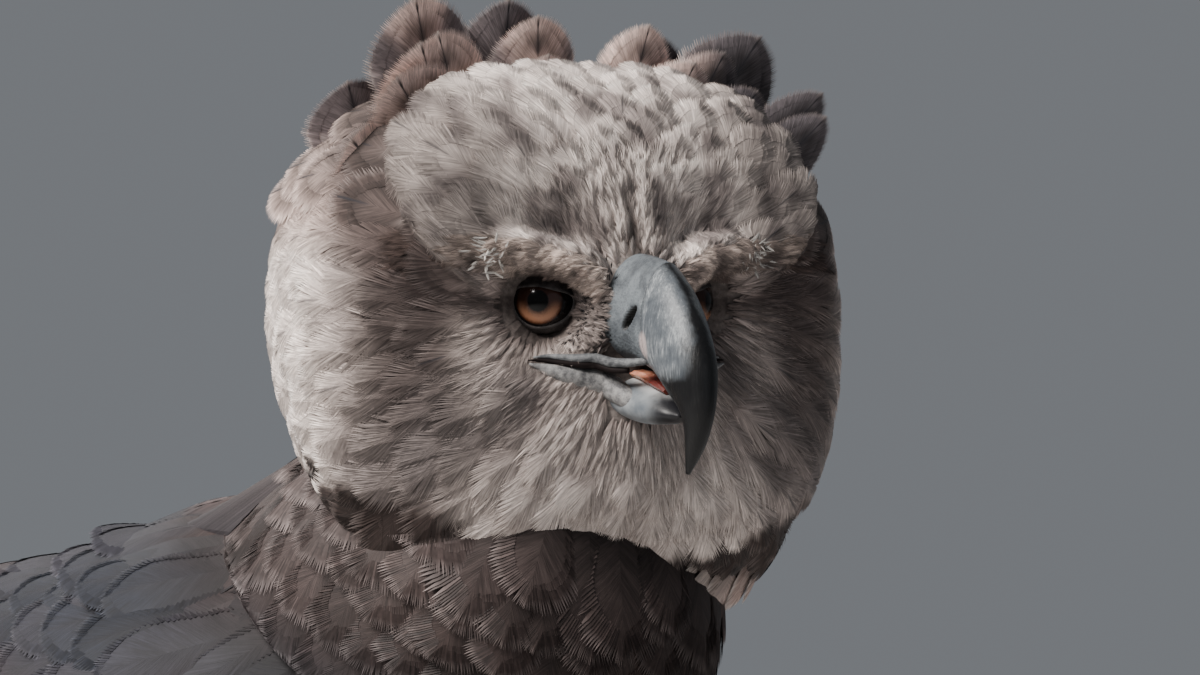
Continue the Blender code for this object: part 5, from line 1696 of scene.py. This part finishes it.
def build_tail(finish):
    """Twelve long feathers that overlap from the middle outwards, and coverts above and below their roots."""
    draw = np.random.default_rng(51)
    tail = Coat("tail_feathers", chart_tail)
    count = 12
    i = np.arange(count)
    place = (i // 2 + 0.5) * np.where(i % 2, 1, -1) / (count / 2)
    root, along, beside = tail_fan(place, 8.5, TAIL_START + TAIL_ALONG * (0.05 * TAIL_LENGTH), 0.02)
    level = 1.05 * ((count - 1) / 2 - i)
    over = np.broadcast_to(TAIL_UP, along.shape)
    length = TAIL_LENGTH * (0.95 - 0.05 * np.abs(place)) / MM
    tail.add(
        draw, QUILL, lie_flat(root, along, beside, over), length, np.full(count, 18.0), level, level, paint_tail,
        cup=0.05, roll=0.04,
    )
    for face in (1, -1):
        for reach, spread, lift in ((0.40, 3, 3.4), (0.30, 4, 5.4), (0.20, 4, 7.4)):
            start = TAIL_START + TAIL_UP * (face * 5 * MM)
            root, along, beside = tail_fan(np.linspace(-1, 1, spread), 9, start, 0.016)
            over = np.broadcast_to(TAIL_UP * face, along.shape)
            tail.add(
                draw, VANE, lie_flat(root, along, beside * face, over), np.full(spread, reach * 400),
                np.full(spread, 20.0), lift, lift - 1.5, paint_tail, cup=0.1,
            )
    tail.finish(finish, "tail_feathers")


# Bill, mouth, eyes and lids


def bill_mesh(name, stations, rows, sides, finish, flat=0.92):
    """A smooth bill piece through stations of outer point, inner point and width."""
    table = smooth_rows([(*outer, *inner, width) for outer, inner, width in stations], rows)
    rings = []
    angle = ring_angles(sides)
    for row in table:
        top, bottom = from_eyes(row[0], 0, row[1]), from_eyes(row[2], 0, row[3])
        up = np.cos(angle)
        across = np.sin(angle) * (1 - 0.14 * up) * row[4] / 2 * MM
        up = np.maximum(up, -flat) / 0.96
        rings.append((top + bottom) / 2 + np.outer(up, (top - bottom) / 2) + np.outer(across, RIGHT))
    made = closed_grid(np.array(rings), name, finish)
    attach(made, "root")
    return made


def tube_mesh(name, centres, radii, sides, finish):
    """A round tube through these centres."""
    steps = unit(np.gradient(centres, axis=0))
    side = unit(np.cross(steps, UP))
    over = np.cross(side, steps)
    angle = ring_angles(sides)
    rings = [
        centre + np.outer(np.cos(angle), a) * radius + np.outer(np.sin(angle), b) * radius
        for centre, radius, a, b in zip(centres, radii, side, over)
    ]
    made = closed_grid(np.array(rings), name, finish)
    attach(made, "root")
    return made


def bill_coordinates(made, *directions):
    """How far a point lies from between the eyes in each of these directions, in mm."""
    place = made.node("ShaderNodeSeparateXYZ", None, Vector=made.place())
    middle = from_eyes(0, 0, 0)
    found = []
    for direction in directions:
        first, *rest = (
            (place[axis] - float(start)) * float(share / MM)
            for axis, start, share in zip("XYZ", middle, direction) if share
        )
        found.append(sum(rest, first))
    return found


def horn_finish():
    """Blue-grey horn with fine pale streaks; the ridge and the tip go black."""
    made = Finish("bill_horn", Specular_IOR_Level=0.22, Coat_Weight=0.03, Coat_Roughness=0.15)
    forward, right, up = bill_coordinates(made, FORWARD, RIGHT, UP)
    place = made.place()
    cloud = made.noise(place, 150.0, 4.0)
    grain = made.noise(made.stretch(place, (1.0, 1.0, 9.0)), 1300.0, 4.0, 0.7)
    side = made.math("ABSOLUTE", right)
    # the black runs down the ridge from the top and takes the whole bill past the bend
    reach = 1.8 + (up * -1 - 2).over(0, 22) * 4.2 + (up * -1 - 20).over(0, 22) * 15 + (cloud - 0.5) * 7
    black = 1 - (side - reach).over(-1.8, 2.4)
    colour = made.mix(cloud.over(0.3, 0.7), (0.070, 0.080, 0.091), (0.135, 0.149, 0.161))
    colour = made.mix((grain + cloud * 0.5).over(0.74, 1.00) * 0.6, colour, (0.34, 0.36, 0.37))
    colour = made.mix(grain.over(0.52, 0.32) * 0.6, colour, (0.035, 0.040, 0.047))
    colour = made.mix(black * 0.985, colour, (0.0035, 0.0035, 0.004))
    colour = made.mix(black * grain.over(0.60, 0.75) * 0.3, colour, (0.035, 0.030, 0.022))
    rough = cloud * 0.2 + grain * 0.15 + 0.22
    return made.done(knob(made, forward, up, colour), rough, grain + cloud * 0.8, 0.0003, 0.45)


def knob(made, forward, up, colour):
    """The pale pinkish knob where cere and horn meet over the mouth."""
    away = ((forward - 30.5) / 2.6) ** 2 + ((up + 14.5) / 4.6) ** 2 + made.noise(made.place(), 500.0) * 0.6
    return made.mix((1 - away.over(0.5, 1.7)) * 0.8, colour, (0.40, 0.33, 0.32))


def cere_finish(name, pale, dark, scale, nostril=False):
    """Bare pitted skin, mottled from dark to pale; with the nostril, its slit painted near-black as shade, and the
    knob before it too.
    """
    made = Finish(name, Specular_IOR_Level=0.25)
    place = made.place()
    cloud = made.noise(place, scale, 5.0, 0.6)
    pits = made.node("ShaderNodeTexVoronoi", None, Vector=place, Scale=scale * 7.0)["Distance"]
    colour = made.mix(cloud.over(0.3, 0.72), dark, pale)
    colour = made.mix(pits.over(0.5, 0.1) * 0.3, colour, tuple(x * 0.5 for x in dark))
    if nostril:
        forward, up = bill_coordinates(made, FORWARD, UP)
        rise, slope = up - NOSTRIL[2], forward - NOSTRIL[0]
        lean = math.hypot(1, NOSTRIL_LEAN)
        long = (rise + slope * NOSTRIL_LEAN) * (1 / lean / 5.6)
        wide = (slope - rise * NOSTRIL_LEAN) * (1 / lean / 2.1)
        # painted shade inside the nostril's slit
        nostril_shade = 1 - (long**2 + wide**2).over(0.6, 1.05)
        colour = made.mix(nostril_shade, knob(made, forward, up, colour), (0.004, 0.004, 0.004))
    return made.done(colour, cloud * 0.25 + 0.36, pits * 0.6 + cloud, 0.0005, 0.5)


def eye_finish(name, centre, axis):
    """A dark iris, warm round the pupil, with painted shade from the brow over its top, under a wet clear coat."""
    made = Finish("eye_" + name, Coat_Weight=0.8, Coat_Roughness=0.02, Coat_IOR=1.25, Specular_IOR_Level=0.05)
    toward = made.vector_math("NORMALIZE", made.vector_math("SUBTRACT", made.place(), tuple(map(float, centre))))
    facing = made.vector_math("DOT_PRODUCT", toward, tuple(map(float, axis)))
    angle = made.math("ARCCOSINE", facing) * (180 / math.pi)
    streaks = made.noise(toward, 16.0, 4.0, 0.7)
    height = made.node("ShaderNodeSeparateXYZ", None, Vector=toward)["Z"]
    iris = made.mix((angle + streaks * 8).over(17, 31), (0.026, 0.011, 0.006), (0.27, 0.130, 0.075))
    iris = made.mix((angle + streaks * 5).over(32, 39), iris, (0.07, 0.024, 0.010))
    # painted shade: the iris goes nearly black at the top, under the brow
    iris = made.mix(height.over(-0.50, 0.06) * 0.97, iris, (0.010, 0.004, 0.003))
    colour = made.mix((angle + streaks * 1.5).over(14.5, 17.5), (0.001, 0.001, 0.001), iris)
    colour = made.mix(angle.over(34.5, 38.5), colour, (0.004, 0.0035, 0.0035))
    return made.done(colour, streaks * 0.1 + 0.12)


def build_eye(side, name):
    """The ball of an eye, with the clear bulge of the cornea."""
    rows, sides = 40, 48
    polar = np.linspace(0.02, math.pi - 0.02, rows)
    bulge = 1 + 0.055 * np.exp(-((np.degrees(polar) / 26) ** 2))
    beside = unit(np.cross(EYE_AXIS[side], UP))
    over = np.cross(beside, EYE_AXIS[side])
    angle = ring_angles(sides)
    ring = np.outer(np.cos(angle), beside) + np.outer(np.sin(angle), over)
    rings = [
        EYE_AT[side] + (EYE_AXIS[side] * math.cos(a) + ring * math.sin(a)) * EYE_RADIUS * b * MM
        for a, b in zip(polar, bulge)
    ]
    ball = closed_grid(np.array(rings), "eyeball_" + name, eye_finish(name, EYE_AT[side], EYE_AXIS[side]))
    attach(ball, "root")
    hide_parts("eye_" + name)


# The lids from the eye outwards: share of their width, and radius in mm
LID_PROFILE = (
    (0.0, 12.15), (0.02, 12.7), (0.10, 13.0), (0.25, 13.0), (0.4, 12.8), (0.6, 13.0), (0.8, 12.9), (1.0, 11.8)
)


def build_lids(side, name, finish):
    """The bare dark rim of the eye, drawn out towards the bill, under a brow that cuts its top."""
    axis = EYE_AXIS[side]
    front, over = square_to(FORWARD, axis), square_to(UP, axis)
    angle = ring_angles(96)
    toward, rise = np.cos(angle), np.sin(angle)
    # how far the lids stand open all round, and how far the bare skin then reaches
    wide = 41.5 + 15 * np.clip(toward, 0, 1) ** 3
    brow_line = 17.5 / np.clip(rise + 0.12 * toward, 0.05, 1)
    opening = (wide**-6.0 + brow_line**-6.0) ** (-1 / 6)
    reach = 19 + 13 * np.clip(toward, 0, 1) ** 2 + 18 * np.clip(rise, 0, 1)
    rings = []
    for k, (share, radius) in enumerate(LID_PROFILE):
        wrinkle = 0.16 * np.sin(angle * 29 + 2 * k) + 0.14 * np.sin(angle * 47 + 5 * k * k)
        wrinkle = wrinkle * math.sin(math.pi * share)
        polar = np.radians(opening + reach * share)
        ring = np.outer(toward, front) + np.outer(rise, over)
        spot = np.cos(polar)[:, None] * axis + np.sin(polar)[:, None] * ring
        rings.append(EYE_AT[side] + spot * ((radius + wrinkle) * MM)[:, None])
    # their back, closed behind the eye's outline
    rings.append(EYE_AT[side] + (rings[-1] - EYE_AT[side]) * 0.8)
    rings.append(EYE_AT[side] + (rings[0] - EYE_AT[side]) * 0.93)
    rings.append(rings[0])
    rings = np.array(rings)
    count, sides = rings.shape[:2]
    j = np.arange(sides)
    k = (j + 1) % sides
    faces = [
        np.stack((i * sides + j, i * sides + k, (i + 1) * sides + k, (i + 1) * sides + j), -1)
        for i in range(count - 1)
    ]
    made = mesh_object("lids_" + name, rings.reshape(-1, 3), np.concatenate(faces), finish)
    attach(made, "root")


def open_nostrils(cere):
    """Presses a slanting slit into each side of the cere, with a low rim round it."""
    points = mesh_points(cere.data)
    for side in (1, -1):
        centre = from_eyes(NOSTRIL[0], side * NOSTRIL[1], NOSTRIL[2])
        rel = (points - centre) / MM
        near = np.abs(rel @ RIGHT) < 5
        lean = unit(UP + NOSTRIL_LEAN * FORWARD)
        cross = unit(FORWARD - NOSTRIL_LEAN * UP)
        reach = np.hypot((rel @ lean) / 5.4, (rel @ cross) / 2.0)
        sink = 3.2 * (1 - ease(reach, 0.55, 1.0)) - 0.5 * np.exp(-(((reach - 1.25) / 0.3) ** 2))
        points -= np.outer(np.where(near, sink, 0) * side * MM, RIGHT)
    move_points(cere.data, points)


def build_bill():
    upper = bill_mesh("bill_upper", UPPER_BEAK, 70, 64, horn_finish())
    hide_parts("upper_beak")
    lower = bill_mesh("bill_lower", LOWER_BEAK, 50, 48, lower_finish())
    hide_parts("lower_beak")
    skin = cere_finish("cere_skin_blue", (0.135, 0.152, 0.165), (0.055, 0.062, 0.070), 170.0, nostril=True)
    cere = bill_mesh("bill_cere", CERE, 70, 110, skin)
    open_nostrils(cere)
    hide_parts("cere")


def build_lips():
    """Soft rims along both sides of the mouth, and between them a near-black line that is painted shade in the
    mouth's seam.
    """
    upper = cere_finish("upper_lip_skin", (0.16, 0.165, 0.17), (0.040, 0.042, 0.046), 420.0)
    lower = cere_finish("lip_skin", (0.26, 0.255, 0.25), (0.060, 0.060, 0.064), 380.0)
    # painted shade: a near-black tube along the seam of the mouth
    line = Finish("mouth_line", 0.7, Specular_IOR_Level=0.1)
    shade = line.noise(line.place(), 400.0)
    line.feed("Base Color", line.mix(shade, (0.003, 0.002, 0.002), (0.010, 0.006, 0.006)))
    # each with how far it stands over the plain head, in mm
    parts = (
        ("upper", LIP, upper, -0.35),
        ("lower", LOWER_LIP, lower, -0.7),
        ("line", MOUTH_LINE, line.material, -0.6),
    )
    for side, name in SIDES:
        for label, stations, finish, proud in parts:
            rows = smooth_rows(stations, 28)
            at = from_eyes(rows[:, 0], side * rows[:, 1], rows[:, 2])
            direction = unit(at - BALL)
            reach = plain_radius(direction) + (proud - rows[:, 3]) * MM
            centre = BALL + direction * reach[:, None] + UP * 1.2 * MM
            centre = blend(centre, at, ease(rows[:, 0], 10, 17))
            made = tube_mesh(f"lip_{label}_{name}", centre, rows[:, 3] * MM, 14, finish)


def lower_finish():
    made = Finish("bill_lower_horn", Specular_IOR_Level=0.3)
    forward, up = bill_coordinates(made, FORWARD, UP)
    place = made.place()
    cloud = made.noise(place, 150.0, 4.0)
    tip = (forward + cloud * 12).over(31, 41)
    colour = made.mix(cloud.over(0.3, 0.7), (0.085, 0.098, 0.112), (0.20, 0.215, 0.225))
    colour = made.mix((up + forward * 0.34).over(-22.5, -19.5) * 0.7, colour, (0.42, 0.42, 0.41))
    return made.done(made.mix(tip, colour, (0.008, 0.008, 0.010)), cloud * 0.2 + 0.34, cloud, 0.0004, 0.4)


def leg_finish():
    made = Finish("leg_scutes", Specular_IOR_Level=0.4)
    place = made.place()
    cells = made.node("ShaderNodeTexVoronoi", None, Vector=place, Scale=330.0)["Distance"]
    cloud = made.noise(place, 70.0, 4.0)
    colour = made.mix(cloud.over(0.3, 0.7), (0.50, 0.33, 0.05), (0.66, 0.47, 0.10))
    colour = made.mix(cells.over(0.35, 0.75) * 0.5, colour, (0.30, 0.18, 0.03))
    return made.done(colour, cloud * 0.2 + 0.4, cells * -1, 0.0008, 0.6)


def claw_finish():
    made = Finish("claw_black", Specular_IOR_Level=0.5)
    place = made.place()
    cloud = made.noise(place, 90.0, 4.0)
    colour = made.mix(cloud, (0.010, 0.010, 0.012), (0.045, 0.043, 0.045))
    return made.done(colour, cloud * 0.2 + 0.2, cloud, 0.0004, 0.3)


def tongue_finish():
    made = Finish("tongue_flesh", Coat_Roughness=0.1, Coat_Weight=0.6, Subsurface_Weight=0.2)
    cloud = made.noise(made.place(), 300.0, 3.0)
    forward = bill_coordinates(made, FORWARD)[0]
    colour = made.mix(cloud, (0.46, 0.12, 0.07), (0.66, 0.30, 0.20))
    return made.done(made.mix(forward.over(19, 25), colour, (0.10, 0.014, 0.010)), cloud * 0.2 + 0.25)


def refinish(nodes, finish):
    """Gives solids that stay as they are their material."""
    for name in nodes:
        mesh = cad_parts[name].data
        mesh.materials.clear()
        mesh.materials.append(finish)


def both(*names):
    return [f"{name}_{side}" for name in names for _, side in SIDES]


# Stage, light and camera


def floor_finish():
    made = Finish("pale_floor")
    cloud = made.noise(made.place(), 3.0, 3.0)
    return made.done(made.mix(cloud, (0.62, 0.61, 0.60), (0.66, 0.65, 0.64)), cloud * 0.1 + 0.6)


def area_light(name, place, size, power, colour):
    lamp = bpy.data.lights.new(name, "AREA")
    lamp.energy, lamp.size, lamp.color = power, size, colour
    made = new_object(name, lamp)
    made.location = place
    made.rotation_euler = (Vector(BALL) - Vector(place)).to_track_quat("-Z", "Y").to_euler()


# The camera: direction, distance, width of the frame at the eyes, and how far its middle is from them
VIEW_TURN = math.radians(-55)
VIEW_DISTANCE = 3.0
VIEW_WIDTH = 0.3871
VIEW_LEFT, VIEW_DOWN = 0.0074, 0.0118
SENSOR = 36
# Lights: distance from the head towards the camera, to its right and up, size, power and colour
LIGHTS = {
    "key": (0.9, -1.1, 1.35, 0.8, 112, (1.0, 0.955, 0.91)),
    "fill": (1.6, 1.4, 0.2, 1.6, 3, (0.82, 0.90, 1.0)),
    "rim": (-1.2, -0.8, 1.0, 0.9, 13, (1.0, 0.96, 0.92)),
}
ROOM_COLOUR = (0.70, 0.74, 0.80, 1)
ROOM_LIGHT = 0.25
FLOOR_HALF = 9
FLOOR_DROP = 0.0004  # below the claws


def build_stage():
    corners = np.array(((-1, -1, 0), (1, -1, 0), (1, 1, 0), (-1, 1, 0)), float) * FLOOR_HALF - (0, 0, FLOOR_DROP)
    floor = mesh_object("floor", corners, np.array(((0, 1, 2, 3),)), floor_finish(), smooth=False)
    world = bpy.data.worlds.new("soft_room")
    bpy.context.scene.world = world
    world.use_nodes = True
    world.node_tree.nodes["Background"].inputs["Color"].default_value = ROOM_COLOUR
    world.node_tree.nodes["Background"].inputs["Strength"].default_value = ROOM_LIGHT
    back = np.array((math.sin(VIEW_TURN), -math.cos(VIEW_TURN), 0))
    right = np.array((math.cos(VIEW_TURN), math.sin(VIEW_TURN), 0))
    for name, (near, aside, rise, size, power, colour) in LIGHTS.items():
        area_light(name, BALL + back * near + right * aside + UP * rise, size, power, colour)
    camera = new_object("camera", bpy.data.cameras.new("camera"))
    bpy.context.scene.camera = camera
    target = from_eyes(0, 0, 0) - right * VIEW_LEFT - UP * VIEW_DOWN
    camera.location = target + back * VIEW_DISTANCE
    camera.rotation_euler = Vector(-back).to_track_quat("-Z", "Y").to_euler()
    camera.data.sensor_width = SENSOR
    camera.data.lens = SENSOR * VIEW_DISTANCE / VIEW_WIDTH


def build():
    feathers = plumage_finish("plumage_soft", 0.75, 0.08)
    dark = plumage_finish("plumage_dark", 0.60, 0.0)
    skin = build_skin(plumage_finish("under_plumage", 0.85, 0.0, even_scale=500.0))
    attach(skin, "root")
    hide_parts("head", "neck", "torso", "tail", *both("wing", "thigh"))
    build_head_coats(feathers)
    build_crest(feathers)
    build_body_coats(dark)
    build_wings(dark)
    build_tail(dark)
    build_bill()
    build_lips()
    bare = cere_finish("lid_skin", (0.040, 0.034, 0.033), (0.010, 0.008, 0.008), 420.0)
    for side, name in SIDES:
        build_eye(side, name)
        build_lids(side, name, bare)
    refinish(both("tarsus", "foot"), leg_finish())
    refinish(both("claw_inner", "claw_middle", "claw_outer", "claw_hind"), claw_finish())
    refinish(["tongue"], tongue_finish())
    build_stage()


build()
